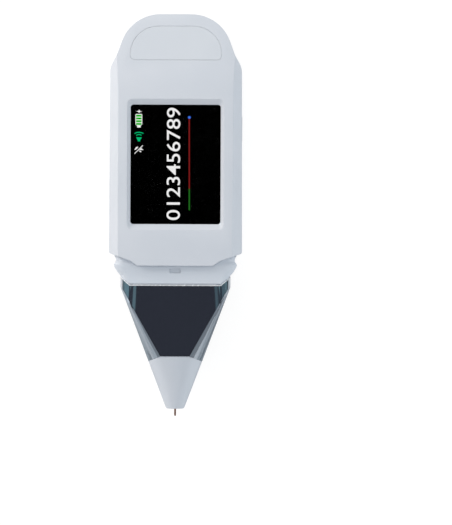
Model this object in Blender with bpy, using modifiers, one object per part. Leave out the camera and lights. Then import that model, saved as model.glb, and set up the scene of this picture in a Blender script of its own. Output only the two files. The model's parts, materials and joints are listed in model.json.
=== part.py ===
# Handheld diamond tester lying on its back, the needle toward -Y and the head toward +Y.
# X runs to the right of the screen and Z rises out of the screen from the rear face at zero.
# A station is a distance measured down the tester from the top of its head.
# Half widths and half depths are measured from the long middle line of the tester.

import math

import bmesh
import bpy
from mathutils import Matrix, Vector

MM = 0.001

# Shared fits and the fineness of curves
FIT_GAP = 0.3 * MM
OVERCUT = 1.0 * MM
SAGITTA = 0.02 * MM
WELD = 0.005 * MM
ROUND_STEPS = 24
FLANK_STEPS = 8

# Outline of the case seen from the front
CASE_DEPTH = 26.0 * MM
CROWN_CORNER_INSET = 9.27 * MM
CROWN_RADIUS = 16.9 * MM
FLARE_INSET = 3.15 * MM
FLARE_STATION = 17.0 * MM
FLARE_RADIUS = 4.0 * MM
SHOULDER_INSET = 0.3 * MM
SHOULDER_STATION = 21.75 * MM
SHOULDER_RADIUS = 8.0 * MM
HIP_HALF_WIDTH = 27.5 * MM
HIP_STATION = 98.6 * MM
HIP_RADIUS = 0.9 * MM
STEP_INSET = 9.2 * MM
STEP_STATION = 101.8 * MM
STEP_RADIUS = 1.5 * MM
CHIN_INSET = 11.9 * MM
CHIN_STATION = 103.8 * MM
CHIN_RADIUS = 0.6 * MM

# Facets along the sides and the lean of the head
FACET_WIDTH = 3.8 * MM
FACET_DEPTH = 6.0 * MM
LEAN_ANGLE = math.radians(5.5)
LEAN_STATION = 29.5 * MM
LEAN_RADIUS = 73.0 * MM
CASE_EDGE = 0.7 * MM
CASE_EDGE_ANGLE = math.radians(25.0)
CASE_EDGE_STEPS = 3

# Walls of the two shells
SIDE_WALL = 2.2 * MM
FRONT_WALL = 2.5 * MM
REAR_WALL = 2.2 * MM

# Sloped recess and window over the display
RECESS_MARGIN = 3.8 * MM
RECESS_TOP_STATION = 35.1 * MM
RECESS_BOTTOM_STATION = 89.0 * MM
RECESS_CORNER = 2.2 * MM
RECESS_SIDE_RUN = 1.45 * MM
WINDOW_TOP_STATION = 37.35 * MM
WINDOW_BOTTOM_STATION = 86.3 * MM
WINDOW_CORNER = 1.2 * MM
WINDOW_LIP = 0.8 * MM

# Inlaid plate on the head
BADGE_INSET = 8.7 * MM
BADGE_TOP_STATION = 5.0 * MM
BADGE_BOTTOM_STATION = 19.0 * MM
BADGE_CROWN_RADIUS = 11.5 * MM
BADGE_CORNER = 1.9 * MM
BADGE_THICKNESS = 0.9 * MM

# Screw posts that join the shells
UPPER_POST_INSET = 8.5 * MM
UPPER_POST_STATION = 24.0 * MM
LOWER_POST_INSET = 6.5 * MM
LOWER_POST_STATION = 92.3 * MM
POST_RADIUS = 2.6 * MM
PILOT_RADIUS = 1.25 * MM
PILOT_DEPTH = 7.0 * MM
SCREW_SHANK_RADIUS = 0.95 * MM
SCREW_LENGTH = 9.0 * MM
SCREW_HEAD_RADIUS = 1.8 * MM
SCREW_HEAD_HEIGHT = 1.4 * MM
SCREW_SEAT_DEPTH = 3.05 * MM
SCREW_HEAD_WELL = 2.1 * MM
SCREW_SLOT_WIDTH = 0.6 * MM
SCREW_SLOT_LENGTH = 2.2 * MM
SCREW_SLOT_DEPTH = 0.7 * MM
SCREW_EDGE = 0.25 * MM

# Lens, seal and display behind the window
LENS_MARGIN = 2.1 * MM
LENS_THICKNESS = 1.0 * MM
LENS_CORNER = 1.6 * MM
SEAL_THICKNESS = 0.6 * MM
SEAL_INNER_MARGIN = 0.6 * MM
DISPLAY_MARGIN = 2.9 * MM
DISPLAY_TOP_STATION = 28.9 * MM
DISPLAY_BOTTOM_STATION = 89.2 * MM
DISPLAY_THICKNESS = 2.4 * MM
DISPLAY_CORNER = 0.8 * MM
DISPLAY_RIM_HEIGHT = 0.3 * MM
DISPLAY_RIM_WIDTH = 1.2 * MM

# Main board
BOARD_SIDE_ROOM = 2.3 * MM
BOARD_BOTTOM_STATION = 89.4 * MM
BOARD_SHOULDER_STATION = 20.0 * MM
BOARD_HEAD_INSET = 5.73 * MM
BOARD_HEAD_STATION = 4.2 * MM
BOARD_THICKNESS = 1.6 * MM
BOARD_CORNER = 1.0 * MM
CHIP_HALF_SIDE = 5.0 * MM
CHIP_THICKNESS = 1.2 * MM
CHIP_STATION = 52.0 * MM

# Charging inlet in the end of the head
INLET_HALF_WIDTH = 4.47 * MM
INLET_HALF_HEIGHT = 1.6 * MM
INLET_WALL = 0.35 * MM
INLET_STATION = 0.6 * MM
INLET_LENGTH = 7.3 * MM
INLET_CAVITY = 6.2 * MM
INLET_DROP = 0.7 * MM
INLET_TONGUE_HALF_WIDTH = 3.3 * MM
INLET_TONGUE_HALF_HEIGHT = 0.35 * MM
INLET_TONGUE_LENGTH = 4.6 * MM

# Power key and its switch on the right side
KEY_STATION = 47.0 * MM
KEY_HALF_LENGTH = 5.0 * MM
KEY_HEIGHT = 3.2 * MM
KEY_RISE = 0.2 * MM
KEY_CORNER = 1.2 * MM
KEY_INSET = 0.1 * MM
KEY_FLANGE = 1.1 * MM
KEY_FLANGE_THICKNESS = 1.0 * MM
KEY_TRAVEL = 0.4 * MM
SWITCH_HALF_LENGTH = 2.25 * MM
SWITCH_SETBACK = 2.6 * MM
SWITCH_WIDTH = 3.5 * MM
SWITCH_THICKNESS = 2.2 * MM
PLUNGER_HALF_LENGTH = 1.0 * MM
PLUNGER_HALF_HEIGHT = 0.5 * MM
PLUNGER_DEPTH = 1.0 * MM

# Battery with its pad, and the sounder
BATTERY_SIDE_ROOM = 8.3 * MM
BATTERY_TOP_STATION = 34.0 * MM
BATTERY_LENGTH = 50.0 * MM
BATTERY_HEADROOM = 3.6 * MM
BATTERY_EDGE = 1.5 * MM
PAD_MARGIN = 4.0 * MM
PAD_THICKNESS = 0.8 * MM
RIB_THICKNESS = 1.2 * MM
RIB_HEIGHT = 6.0 * MM
RIB_LENGTH = 14.0 * MM
SPEAKER_STATION = 14.6 * MM
SPEAKER_RADIUS = 10.0 * MM
SPEAKER_THICKNESS = 3.6 * MM
SPEAKER_CONE_DEPTH = 1.2 * MM
SPEAKER_RIM = 1.4 * MM
SPEAKER_DOME_RADIUS = 3.4 * MM
SPEAKER_WALL_HEIGHT = 3.4 * MM
SOUND_SLOT_COUNT = 5
SOUND_SLOT_PITCH = 2.6 * MM
SOUND_SLOT_HALF_LENGTH = 5.5 * MM
SOUND_SLOT_HALF_WIDTH = 0.6 * MM

# Collar between the case and the grip
COLLAR_SIDE_STEP = 2.05 * MM
COLLAR_FACE_STEP = 2.0 * MM
COLLAR_CORNER = 3.8 * MM
COLLAR_TOP_STATION = 98.9 * MM
COLLAR_BOTTOM_STATION = 111.2 * MM
COLLAR_SIDE_INSET = 2.75 * MM
COLLAR_FACE_INSET = 0.9 * MM
COLLAR_STATION_SHARES = (0.0, 0.064, 0.12, 0.176, 0.256, 0.312, 0.368, 0.448, 0.592, 0.712, 1.0)
COLLAR_INSET_SHARES = (0.055, 0.055, 0.236, 0.309, 0.309, 0.127, 0.0, 0.127, 0.49, 0.927, 1.0)
COLLAR_CUT_INSET = 6.55 * MM
COLLAR_CUT_SLOPE_SHARE = 0.895
NECK_SIDE_INSET = 4.85 * MM
NECK_FACE_INSET = 3.4 * MM
NECK_CORNER = 2.4 * MM
ROOT_TOP_STATION = 95.9 * MM
ROOT_FACE_INSET = 3.4 * MM
NECK_SIDE_WALL = 4.3 * MM
NECK_FACE_WALL = 2.4 * MM
PASSAGE_CORNER = 2.0 * MM
SLEEVE_SIDE_INSET = 2.8 * MM
SLEEVE_FACE_INSET = 0.9 * MM
SLEEVE_BOTTOM_STATION = 114.4 * MM
DETENT_HALF_WIDTH = 2.25 * MM
DETENT_TOP_STATION = 104.9 * MM
DETENT_BOTTOM_STATION = 106.75 * MM
DETENT_DEPTH = 0.9 * MM
DETENT_CORNER = 0.4 * MM

# Grip: bright contact frame with a dark panel let into the front and the rear
GRIP_SIDE_STEP = 2.68 * MM
GRIP_FACE_STEP = 0.7 * MM
GRIP_CORNER = 6.8 * MM
GRIP_KNEE_STATION = 112.4 * MM
GRIP_KNEE_SWELL = 0.03 * MM
FLANK_TOP_STATION = 109.7 * MM
GRIP_KNEE_BAND = 0.5 * MM
FLANK_SWELL = 0.2 * MM
PANEL_THICKNESS = 1.5 * MM
PANEL_SHELF = 2.0 * MM
PANEL_TOP_STATION = 112.0 * MM
PANEL_EDGE_OUTSET = 0.07 * MM
PANEL_SIDE_TOP_STATION = 109.2 * MM
PANEL_SIDE_BOTTOM_STATION = 113.4 * MM
PANEL_BASE_HALF_DEPTH = 3.0 * MM

# Nose cone
NOSE_STATION = 141.1 * MM
NOSE_CREST = 6.28 * MM
NOSE_SIDE_STATION = 143.05 * MM
NOSE_SIDE_HALF_WIDTH = 10.9 * MM
NOSE_ROUND_STATION = 162.2 * MM
NOSE_ROUND_RADIUS = 3.86 * MM
NOSE_FACE_STEP = 0.3 * MM
NOSE_TIP_STATION_SHARE = 0.69
NOSE_TIP_RADIUS_SHARE = 0.375
NOSE_END_CREST = 0.2 * MM
NOSE_END_STATION = 163.0 * MM
NOSE_END_RADIUS = 3.06 * MM
NOSE_RINGS = 5
SPIGOT_TOP_STATION = 136.5 * MM
SPIGOT_RADIUS = 5.6 * MM

# Sprung probe on the middle line
NEEDLE_TIP_STATION = 166.1 * MM
NEEDLE_TOP_STATION = 150.0 * MM
NEEDLE_RADIUS = 0.4 * MM
NEEDLE_POINT_RADIUS = 0.22 * MM
NEEDLE_POINT_LENGTH = 0.6 * MM
CARRIER_TOP_STATION = 146.0 * MM
CARRIER_BOTTOM_STATION = 154.0 * MM
CARRIER_RADIUS = 2.2 * MM
CARRIER_EDGE = 0.3 * MM
BARREL_TOP_STATION = 134.0 * MM
BARREL_RADIUS = 3.5 * MM
BARREL_BORE = 2.5 * MM
BARREL_LIP = 0.7 * MM
BARREL_MOUTH = 1.2 * MM
PLUG_FLANGE = 0.7 * MM
PLUG_BOTTOM_STATION = 138.0 * MM
PLUG_BORE = 0.6 * MM
SPRING_RADIUS = 1.95 * MM
SPRING_WIRE_RADIUS = 0.2 * MM
SPRING_TURNS = 5
SPRING_POINTS_PER_TURN = 12
GUIDE_RADIUS = 1.5 * MM
GUIDE_BOTTOM_STATION = 162.7 * MM

# Probe board, its ribbon and the contact leaf
PROBE_BOARD_HALF_WIDTH = 6.0 * MM
PROBE_BOARD_LENGTH = 19.4 * MM
PROBE_BOARD_THICKNESS = 1.0 * MM
PROBE_CHIP_HALF_SIDE = 2.0 * MM
PROBE_CHIP_THICKNESS = 1.0 * MM
PROBE_CHIP_STATION = 128.0 * MM
STRIP_THICKNESS = 0.3 * MM
RIBBON_HALF_WIDTH = 3.0 * MM
RIBBON_START_STATION = 84.0 * MM
RIBBON_BEND_STATION = 91.0 * MM
RIBBON_LEVEL_STATION = 99.0 * MM
RIBBON_END_STATION = 117.0 * MM
FLEX_HALF_WIDTH = 6.5 * MM
FLEX_TURN_STATION = 25.5 * MM
FLEX_END_STATION = 17.5 * MM
LEAF_STATION = 125.0 * MM
LEAF_HALF_WIDTH = 1.5 * MM
LEAF_FOOT = 2.5 * MM
LEAF_HEEL = 5.2 * MM
LEAF_HOOK = 1.6 * MM
LEAF_RISE = 2.6 * MM
LEAF_TIP_DROP = 0.8 * MM

# Levels and lengths that follow from the ones above
MID_HEIGHT = CASE_DEPTH / 2
HALF_LENGTH = NEEDLE_TIP_STATION / 2
CROWN_CORNER_HALF_WIDTH = HIP_HALF_WIDTH - CROWN_CORNER_INSET
FLARE_HALF_WIDTH = HIP_HALF_WIDTH - FLARE_INSET
SHOULDER_HALF_WIDTH = HIP_HALF_WIDTH - SHOULDER_INSET
STEP_HALF_WIDTH = HIP_HALF_WIDTH - STEP_INSET
CHIN_HALF_WIDTH = HIP_HALF_WIDTH - CHIN_INSET
FACE_HALF_WIDTH = HIP_HALF_WIDTH - FACET_WIDTH
FACET_RUN_SHARE = FACET_WIDTH / FACET_DEPTH
RECESS_HALF_WIDTH = FACE_HALF_WIDTH - RECESS_MARGIN
WINDOW_HALF_WIDTH = RECESS_HALF_WIDTH - RECESS_SIDE_RUN
BADGE_HALF_WIDTH = HIP_HALF_WIDTH - BADGE_INSET
UPPER_POST_HALF_SPAN = HIP_HALF_WIDTH - UPPER_POST_INSET
LOWER_POST_HALF_SPAN = HIP_HALF_WIDTH - LOWER_POST_INSET
CEILING = CASE_DEPTH - FRONT_WALL
LENS_TOP = CEILING - FIT_GAP
LENS_BASE = LENS_TOP - LENS_THICKNESS
SEAL_TOP = LENS_BASE - FIT_GAP
SEAL_BASE = SEAL_TOP - SEAL_THICKNESS
DISPLAY_TOP = SEAL_BASE - FIT_GAP
DISPLAY_BASE = DISPLAY_TOP - DISPLAY_THICKNESS
BOARD_TOP = DISPLAY_BASE - FIT_GAP
BOARD_BASE = BOARD_TOP - BOARD_THICKNESS
DISPLAY_HALF_WIDTH = WINDOW_HALF_WIDTH + DISPLAY_MARGIN
PARTS_LEVEL = BOARD_BASE - FIT_GAP
INLET_HEIGHT = BOARD_BASE - INLET_DROP
KEY_FACE = HIP_HALF_WIDTH - SIDE_WALL
KEY_TOP_HEIGHT = PARTS_LEVEL + KEY_RISE
KEY_BASE_HEIGHT = KEY_TOP_HEIGHT - KEY_HEIGHT
SWITCH_REACH = KEY_FACE - SWITCH_SETBACK
BOARD_HALF_WIDTH = KEY_FACE - BOARD_SIDE_ROOM
BOARD_HEAD_HALF_WIDTH = CROWN_CORNER_HALF_WIDTH - BOARD_HEAD_INSET
PAD_BASE = REAR_WALL + FIT_GAP
BATTERY_BASE = PAD_BASE + PAD_THICKNESS + FIT_GAP
BATTERY_TOP = PARTS_LEVEL - CHIP_THICKNESS - BATTERY_HEADROOM
BATTERY_HALF_WIDTH = KEY_FACE - BATTERY_SIDE_ROOM
BATTERY_BOTTOM_STATION = BATTERY_TOP_STATION + BATTERY_LENGTH
FRONT_SEAM = MID_HEIGHT + FIT_GAP / 2
REAR_SEAM = MID_HEIGHT - FIT_GAP / 2
SCREW_SEAT_HEIGHT = REAR_SEAM - SCREW_SEAT_DEPTH
COLLAR_HALF_WIDTH = HIP_HALF_WIDTH - COLLAR_SIDE_STEP
COLLAR_HALF_DEPTH = MID_HEIGHT - COLLAR_FACE_STEP
COLLAR_CUT_HALF_WIDTH = COLLAR_HALF_WIDTH - COLLAR_CUT_INSET
NECK_HALF_WIDTH = COLLAR_HALF_WIDTH - NECK_SIDE_INSET
NECK_HALF_DEPTH = COLLAR_HALF_DEPTH - NECK_FACE_INSET
PASSAGE_HALF_WIDTH = NECK_HALF_WIDTH - NECK_SIDE_WALL
PASSAGE_HALF_DEPTH = NECK_HALF_DEPTH - NECK_FACE_WALL
SLEEVE_HALF_WIDTH = NECK_HALF_WIDTH - SLEEVE_SIDE_INSET
SLEEVE_HALF_DEPTH = NECK_HALF_DEPTH - SLEEVE_FACE_INSET
GRIP_HALF_WIDTH = COLLAR_HALF_WIDTH - GRIP_SIDE_STEP
GRIP_HALF_DEPTH = COLLAR_HALF_DEPTH - GRIP_FACE_STEP
GRIP_KNEE_HALF_WIDTH = GRIP_HALF_WIDTH + GRIP_KNEE_SWELL
GRIP_KNEE_CREST = GRIP_KNEE_HALF_WIDTH - GRIP_KNEE_BAND
FLANK_DEPTH = GRIP_HALF_DEPTH + FLANK_SWELL
PANEL_TOP_HALF_WIDTH = COLLAR_CUT_HALF_WIDTH - FIT_GAP
CREST_SLOPE_SHARE = (GRIP_KNEE_CREST - NOSE_CREST) / (NOSE_STATION - GRIP_KNEE_STATION)
PANEL_END_HALF_WIDTH = NOSE_CREST + PANEL_EDGE_OUTSET
PANEL_SIDE_RUN = (NOSE_STATION - PANEL_SIDE_BOTTOM_STATION) * CREST_SLOPE_SHARE
PANEL_SIDE_HALF_WIDTH = PANEL_END_HALF_WIDTH + PANEL_SIDE_RUN
NOSE_HALF_DEPTH = GRIP_HALF_DEPTH - NOSE_FACE_STEP
GRIP_TOP_STATION = COLLAR_BOTTOM_STATION + FIT_GAP
NOSE_EDGE_SLOPE_SHARE = (NOSE_SIDE_STATION - NOSE_STATION) / (NOSE_SIDE_HALF_WIDTH - NOSE_CREST)
STRIP_LIFT = FIT_GAP + STRIP_THICKNESS / 2
BARREL_BOTTOM_STATION = CARRIER_BOTTOM_STATION + FIT_GAP + BARREL_LIP


def down(station):
    """Height along Y of a station measured down from the top of the head."""
    return HALF_LENGTH - station


for leftover in list(bpy.data.objects):
    bpy.data.objects.remove(leftover, do_unlink=True)

parts = bpy.data.collections.new("diamond_tester")
tools = bpy.data.collections.new("cutters")
bpy.context.scene.collection.children.link(parts)
bpy.context.scene.collection.children.link(tools)


# Working with outlines


def mirrored(half):
    """Closed outline from the corners of its right half, given from the bottom up."""
    return half + [(-x, y, radius) for x, y, radius in reversed(half)]


def box_outline(half_width, low, high, radius):
    """Rectangle about the middle line with equal rounded corners."""
    return mirrored([(half_width, low, radius), (half_width, high, radius)])


def shifted(corners, x_shift, y_shift):
    return [(x + x_shift, y + y_shift, radius) for x, y, radius in corners]


def inset_outline(corners, inset):
    """Moves every side of an outline inward, keeping its arcs concentric."""
    moved = []
    for index, (x, y, radius) in enumerate(corners):
        corner = Vector((x, y))
        arriving = (corner - Vector(corners[index - 1][:2])).normalized()
        leaving = (Vector(corners[(index + 1) % len(corners)][:2]) - corner).normalized()
        inward = Vector((-arriving.y - leaving.y, arriving.x + leaving.x))
        corner += inward * inset / (1 + arriving.dot(leaving))
        bend = arriving.cross(leaving)
        kept = max(0, radius - inset * math.copysign(1, bend)) if radius else 0
        moved.append((corner.x, corner.y, kept))
    return moved


def rounded(corners):
    """Points of an outline whose corners are replaced by arcs of their own radius."""
    points = []
    for index, (x, y, radius) in enumerate(corners):
        corner = Vector((x, y))
        if not radius:
            points.append(corner)
            continue
        backward = (Vector(corners[index - 1][:2]) - corner).normalized()
        forward = (Vector(corners[(index + 1) % len(corners)][:2]) - corner).normalized()
        half_angle = backward.angle(forward) / 2
        middle = corner + (backward + forward).normalized() * radius / math.sin(half_angle)
        start = corner + backward * radius / math.tan(half_angle) - middle
        sweep = math.copysign(math.pi - 2 * half_angle, -backward.cross(forward))
        finest = 2 * math.acos(1 - min(SAGITTA / radius, 1 / 2))
        steps = max(1, math.ceil(abs(sweep) / finest))
        for step in range(steps + 1):
            points.append(middle + Matrix.Rotation(sweep * step / steps, 2) @ start)
    return points


# Making solids


def place(name, mesh, group=parts):
    made = bpy.data.objects.new(name, mesh)
    group.objects.link(made)
    if group is tools:
        made.hide_render = True
        made.display_type = "WIRE"
    return made


def snapshot(made):
    """Mesh of an object with its modifiers worked in."""
    bpy.context.view_layer.update()
    graph = bpy.context.evaluated_depsgraph_get()
    return bpy.data.meshes.new_from_object(made.evaluated_get(graph))


def welded(mesh):
    """Joins the doubled points along the edges of filled caps."""
    work = bmesh.new()
    work.from_mesh(mesh)
    bmesh.ops.remove_doubles(work, verts=work.verts, dist=WELD)
    bmesh.ops.recalc_face_normals(work, faces=work.faces)
    work.to_mesh(mesh)
    work.free()
    return mesh


def slab(outlines, low, high, facing="Z"):
    """Mesh of flat outlines given thickness between two levels along the axis they face.

    Facing Z an outline is drawn in X and Y, facing Y in X and Z, and facing X in Y and Z.
    An outline inside another one is a hole.
    """
    curve = bpy.data.curves.new("outline", "CURVE")
    curve.dimensions = "2D"
    curve.fill_mode = "BOTH"
    curve.extrude = (high - low) / 2
    for corners in outlines:
        points = rounded(corners)
        spline = curve.splines.new("POLY")
        spline.points.add(len(points) - 1)
        for target, point in zip(spline.points, points):
            target.co = (point.x, point.y, 0, 1)
        spline.use_cyclic_u = True
    drawn = place("outline", curve)
    mesh = welded(snapshot(drawn))
    bpy.data.objects.remove(drawn, do_unlink=True)
    bpy.data.curves.remove(curve)
    middle = (low + high) / 2
    turns = {
        "Z": Matrix.Translation((0, 0, middle)),
        "Y": Matrix.Translation((0, middle, 0)) @ Matrix.Rotation(math.pi / 2, 4, "X"),
        "X": Matrix.Translation((middle, 0, 0)) @ Matrix(((0, 0, 1), (1, 0, 0), (0, 1, 0))).to_4x4(),
    }
    mesh.transform(turns[facing])
    return mesh


def loft(rings):
    """Mesh of a closed skin through rings of equal point counts, capped at both ends."""
    work = bmesh.new()
    loops = [[work.verts.new(point) for point in ring] for ring in rings]
    for near, far in zip(loops, loops[1:]):
        for index, corner in enumerate(near):
            after = (index + 1) % len(near)
            work.faces.new((corner, near[after], far[after], far[index]))
    work.faces.new(loops[0])
    work.faces.new(loops[-1])
    bmesh.ops.recalc_face_normals(work, faces=work.faces)
    mesh = bpy.data.meshes.new("loft")
    work.to_mesh(mesh)
    work.free()
    return welded(mesh)


def joined(meshes):
    """One mesh holding several bodies that stand apart from each other."""
    work = bmesh.new()
    for mesh in meshes:
        work.from_mesh(mesh)
    together = bpy.data.meshes.new("bodies")
    work.to_mesh(together)
    work.free()
    return together


def copied(mesh, matrix):
    twin = mesh.copy()
    twin.transform(matrix)
    if matrix.determinant() < 0:
        twin.flip_normals()
    return twin


def turned(profile):
    """Mesh of a profile (radius, height) turned about Z, listed down its outer side."""
    work = bmesh.new()
    points = [work.verts.new((radius, 0, height)) for radius, height in profile]
    for upper, lower in zip(points, points[1:]):
        work.edges.new((upper, lower))
    if profile[0][0] or profile[-1][0]:
        work.edges.new((points[-1], points[0]))
    mesh = bpy.data.meshes.new("profile")
    work.to_mesh(mesh)
    work.free()
    drawn = place("profile", mesh)
    spin = drawn.modifiers.new("Turn", "SCREW")
    spin.axis = "Z"
    spin.steps = ROUND_STEPS
    spin.render_steps = ROUND_STEPS
    spin.use_merge_vertices = True
    spin.merge_threshold = WELD
    result = welded(snapshot(drawn))
    bpy.data.objects.remove(drawn, do_unlink=True)
    return result


def rod(radius, low, high):
    """Mesh of a plain cylinder along Z."""
    work = bmesh.new()
    middle = Matrix.Translation((0, 0, (low + high) / 2))
    bmesh.ops.create_cone(
        work,
        cap_ends=True,
        segments=ROUND_STEPS,
        radius1=radius,
        radius2=radius,
        depth=high - low,
        matrix=middle,
    )
    mesh = bpy.data.meshes.new("rod")
    work.to_mesh(mesh)
    work.free()
    return mesh


def block(x_span, y_span, z_span):
    """Mesh of a plain box between two limits along each axis."""
    work = bmesh.new()
    spans = (x_span, y_span, z_span)
    middle = Matrix.Translation([(low + high) / 2 for low, high in spans])
    size = Matrix.Diagonal([high - low for low, high in spans] + [1])
    bmesh.ops.create_cube(work, size=1, matrix=middle @ size)
    mesh = bpy.data.meshes.new("block")
    work.to_mesh(mesh)
    work.free()
    return mesh


def around(middle, half_size):
    """Limits the same distance each side of a middle."""
    return (middle - half_size, middle + half_size)


def strip(path, half_width, thickness, facing):
    """Mesh of a bent strip: a path given width along the axis it faces, then thickness."""
    work = bmesh.new()
    rows = []
    for reach, level in path:
        if facing == "X":
            row = [(side, reach, level) for side in around(0, half_width)]
        else:
            row = [(reach, side, level) for side in around(down(LEAF_STATION), half_width)]
        rows.append([work.verts.new(point) for point in row])
    for near, far in zip(rows, rows[1:]):
        work.faces.new((near[0], near[1], far[1], far[0]))
    mesh = bpy.data.meshes.new("strip")
    work.to_mesh(mesh)
    work.free()
    drawn = place("strip", mesh)
    thicken = drawn.modifiers.new("Thickness", "SOLIDIFY")
    thicken.thickness = thickness
    thicken.offset = 0
    thicken.use_even_offset = True
    result = welded(snapshot(drawn))
    bpy.data.objects.remove(drawn, do_unlink=True)
    return result


def combine(made, operation, mesh, solver="EXACT"):
    """Adds a Boolean step that works a tool body into a piece."""
    label = "{}_{}_{}".format(made.name, operation.lower(), len(made.modifiers) + 1)
    step = made.modifiers.new(label, "BOOLEAN")
    step.operation = operation
    step.solver = solver
    step.object = place(label, mesh, tools)


def cut(made, *meshes):
    for mesh in meshes:
        combine(made, "DIFFERENCE", mesh)


def keep(made, *meshes):
    for mesh in meshes:
        combine(made, "INTERSECT", mesh)


def add(made, *meshes):
    for mesh in meshes:
        combine(made, "UNION", mesh)


def settled(made):
    """Mesh of a worked body, with the body and the tools it used taken away."""
    mesh = snapshot(made)
    for step in made.modifiers:
        if step.type == "BOOLEAN":
            bpy.data.objects.remove(step.object, do_unlink=True)
    bpy.data.objects.remove(made, do_unlink=True)
    return mesh


def paint(made, colour, roughness, metallic=0.0):
    finish = bpy.data.materials.new(made.name + "_finish")
    finish.use_nodes = True
    shader = finish.node_tree.nodes["Principled BSDF"]
    shader.inputs["Base Color"].default_value = (*colour, 1)
    shader.inputs["Roughness"].default_value = roughness
    shader.inputs["Metallic"].default_value = metallic
    finish.diffuse_color = (*colour, 1)
    made.data.materials.clear()
    made.data.materials.append(finish)


def smooth(made, angle=math.radians(35)):
    made.data.shade_smooth()
    made.data.set_sharp_from_angle(angle=angle)


# Forms shared by several pieces

CASE_OUTLINE = mirrored([
    (CHIN_HALF_WIDTH, down(CHIN_STATION), CHIN_RADIUS),
    (STEP_HALF_WIDTH, down(STEP_STATION), STEP_RADIUS),
    (HIP_HALF_WIDTH, down(HIP_STATION), HIP_RADIUS),
    (SHOULDER_HALF_WIDTH, down(SHOULDER_STATION), SHOULDER_RADIUS),
    (FLARE_HALF_WIDTH, down(FLARE_STATION), FLARE_RADIUS),
    (CROWN_CORNER_HALF_WIDTH, down(0), CROWN_RADIUS),
])

facet_top = FACE_HALF_WIDTH - OVERCUT * FACET_RUN_SHARE
facet_side = HIP_HALF_WIDTH + OVERCUT
facet_low = FACET_DEPTH + OVERCUT / FACET_RUN_SHARE
CASE_SECTION = mirrored([
    (facet_top, -OVERCUT, 0),
    (facet_side, facet_low, 0),
    (facet_side, CASE_DEPTH - facet_low, 0),
    (facet_top, CASE_DEPTH + OVERCUT, 0),
])


def lean_profile(front_drop, rear_rise):
    """Side view of the case, flat at the rear and leaning back over the head."""
    front = CASE_DEPTH - front_drop
    brow = front - (LEAN_STATION + OVERCUT) * math.tan(LEAN_ANGLE)
    return [
        (down(CHIN_STATION + OVERCUT), rear_rise, 0),
        (down(-OVERCUT), rear_rise, 0),
        (down(-OVERCUT), brow, 0),
        (down(LEAN_STATION), front, LEAN_RADIUS),
        (down(CHIN_STATION + OVERCUT), front, 0),
    ]


def case_form(side_inset, front_drop, rear_rise, edge=0):
    """Body of the case where its front, end and side views agree, inset by its walls."""
    outline = slab([inset_outline(CASE_OUTLINE, side_inset)], -OVERCUT, CASE_DEPTH + OVERCUT)
    section = inset_outline(CASE_SECTION, side_inset)
    profile = lean_profile(front_drop, rear_rise)
    form = place("case_form", outline)
    keep(form, slab([section], down(CHIN_STATION + OVERCUT), down(-OVERCUT), "Y"))
    keep(form, slab([profile], -HIP_HALF_WIDTH - OVERCUT, HIP_HALF_WIDTH + OVERCUT, "X"))
    if edge:
        soften = form.modifiers.new("Edges", "BEVEL")
        soften.width = edge
        soften.segments = CASE_EDGE_STEPS
        soften.limit_method = "ANGLE"
        soften.angle_limit = CASE_EDGE_ANGLE
    return settled(form)


def case_slice(low, high, top_station=-2 * OVERCUT):
    """Block that takes in the whole case between two levels, below a station."""
    ends = (down(CHIN_STATION + 2 * OVERCUT), down(top_station))
    return block(around(0, HIP_HALF_WIDTH + 2 * OVERCUT), ends, (low, high))


def prism(half_width, half_depth, corner, top_station, bottom_station):
    """Rounded bar along the tester between two stations."""
    section = box_outline(half_width, *around(MID_HEIGHT, half_depth), corner)
    return slab([section], down(bottom_station), down(top_station), "Y")


def along(mesh, station, x=0, height=MID_HEIGHT):
    """Turns a body so that its own height runs down the tester from a station."""
    turn = Matrix.Rotation(math.pi / 2, 4, "X")
    return copied(mesh, Matrix.Translation((x, down(station), height)) @ turn)


def post_places():
    return [
        (side * half_span, down(station))
        for half_span, station in (
            (UPPER_POST_HALF_SPAN, UPPER_POST_STATION),
            (LOWER_POST_HALF_SPAN, LOWER_POST_STATION),
        )
        for side in (-1, 1)
    ]


def at_posts(mesh):
    return joined([copied(mesh, Matrix.Translation((x, y, 0))) for x, y in post_places()])


case_skin = case_form(0, 0, 0, CASE_EDGE)
case_hollow = case_form(SIDE_WALL, FRONT_WALL, REAR_WALL)
neck_hole = prism(
    NECK_HALF_WIDTH + FIT_GAP,
    NECK_HALF_DEPTH + FIT_GAP,
    NECK_CORNER + FIT_GAP,
    ROOT_TOP_STATION,
    CHIN_STATION + OVERCUT,
)


# Badge plate inlaid in the head, its face flush with the leaning front

BADGE_OUTLINE = mirrored([
    (BADGE_HALF_WIDTH, down(BADGE_BOTTOM_STATION), BADGE_CORNER),
    (BADGE_HALF_WIDTH, down(BADGE_TOP_STATION), BADGE_CROWN_RADIUS),
])
side_reach = HIP_HALF_WIDTH + OVERCUT
badge_under = slab([lean_profile(BADGE_THICKNESS, 0)], -side_reach, side_reach, "X")
badge_seat = slab([lean_profile(BADGE_THICKNESS + FIT_GAP, 0)], -side_reach, side_reach, "X")
badge_blank = slab([inset_outline(BADGE_OUTLINE, FIT_GAP)], MID_HEIGHT, CASE_DEPTH + OVERCUT)
badge_plate = place("head_badge_plate", badge_blank)
keep(badge_plate, case_skin.copy())
cut(badge_plate, badge_under)
paint(badge_plate, (0.66, 0.71, 0.76), 0.35)

pocket = place("badge_pocket", slab([BADGE_OUTLINE], MID_HEIGHT, CASE_DEPTH + OVERCUT))
cut(pocket, badge_seat)
badge_pocket = settled(pocket)


# Front shell with the sloped screen recess, the window and four screw posts

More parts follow.
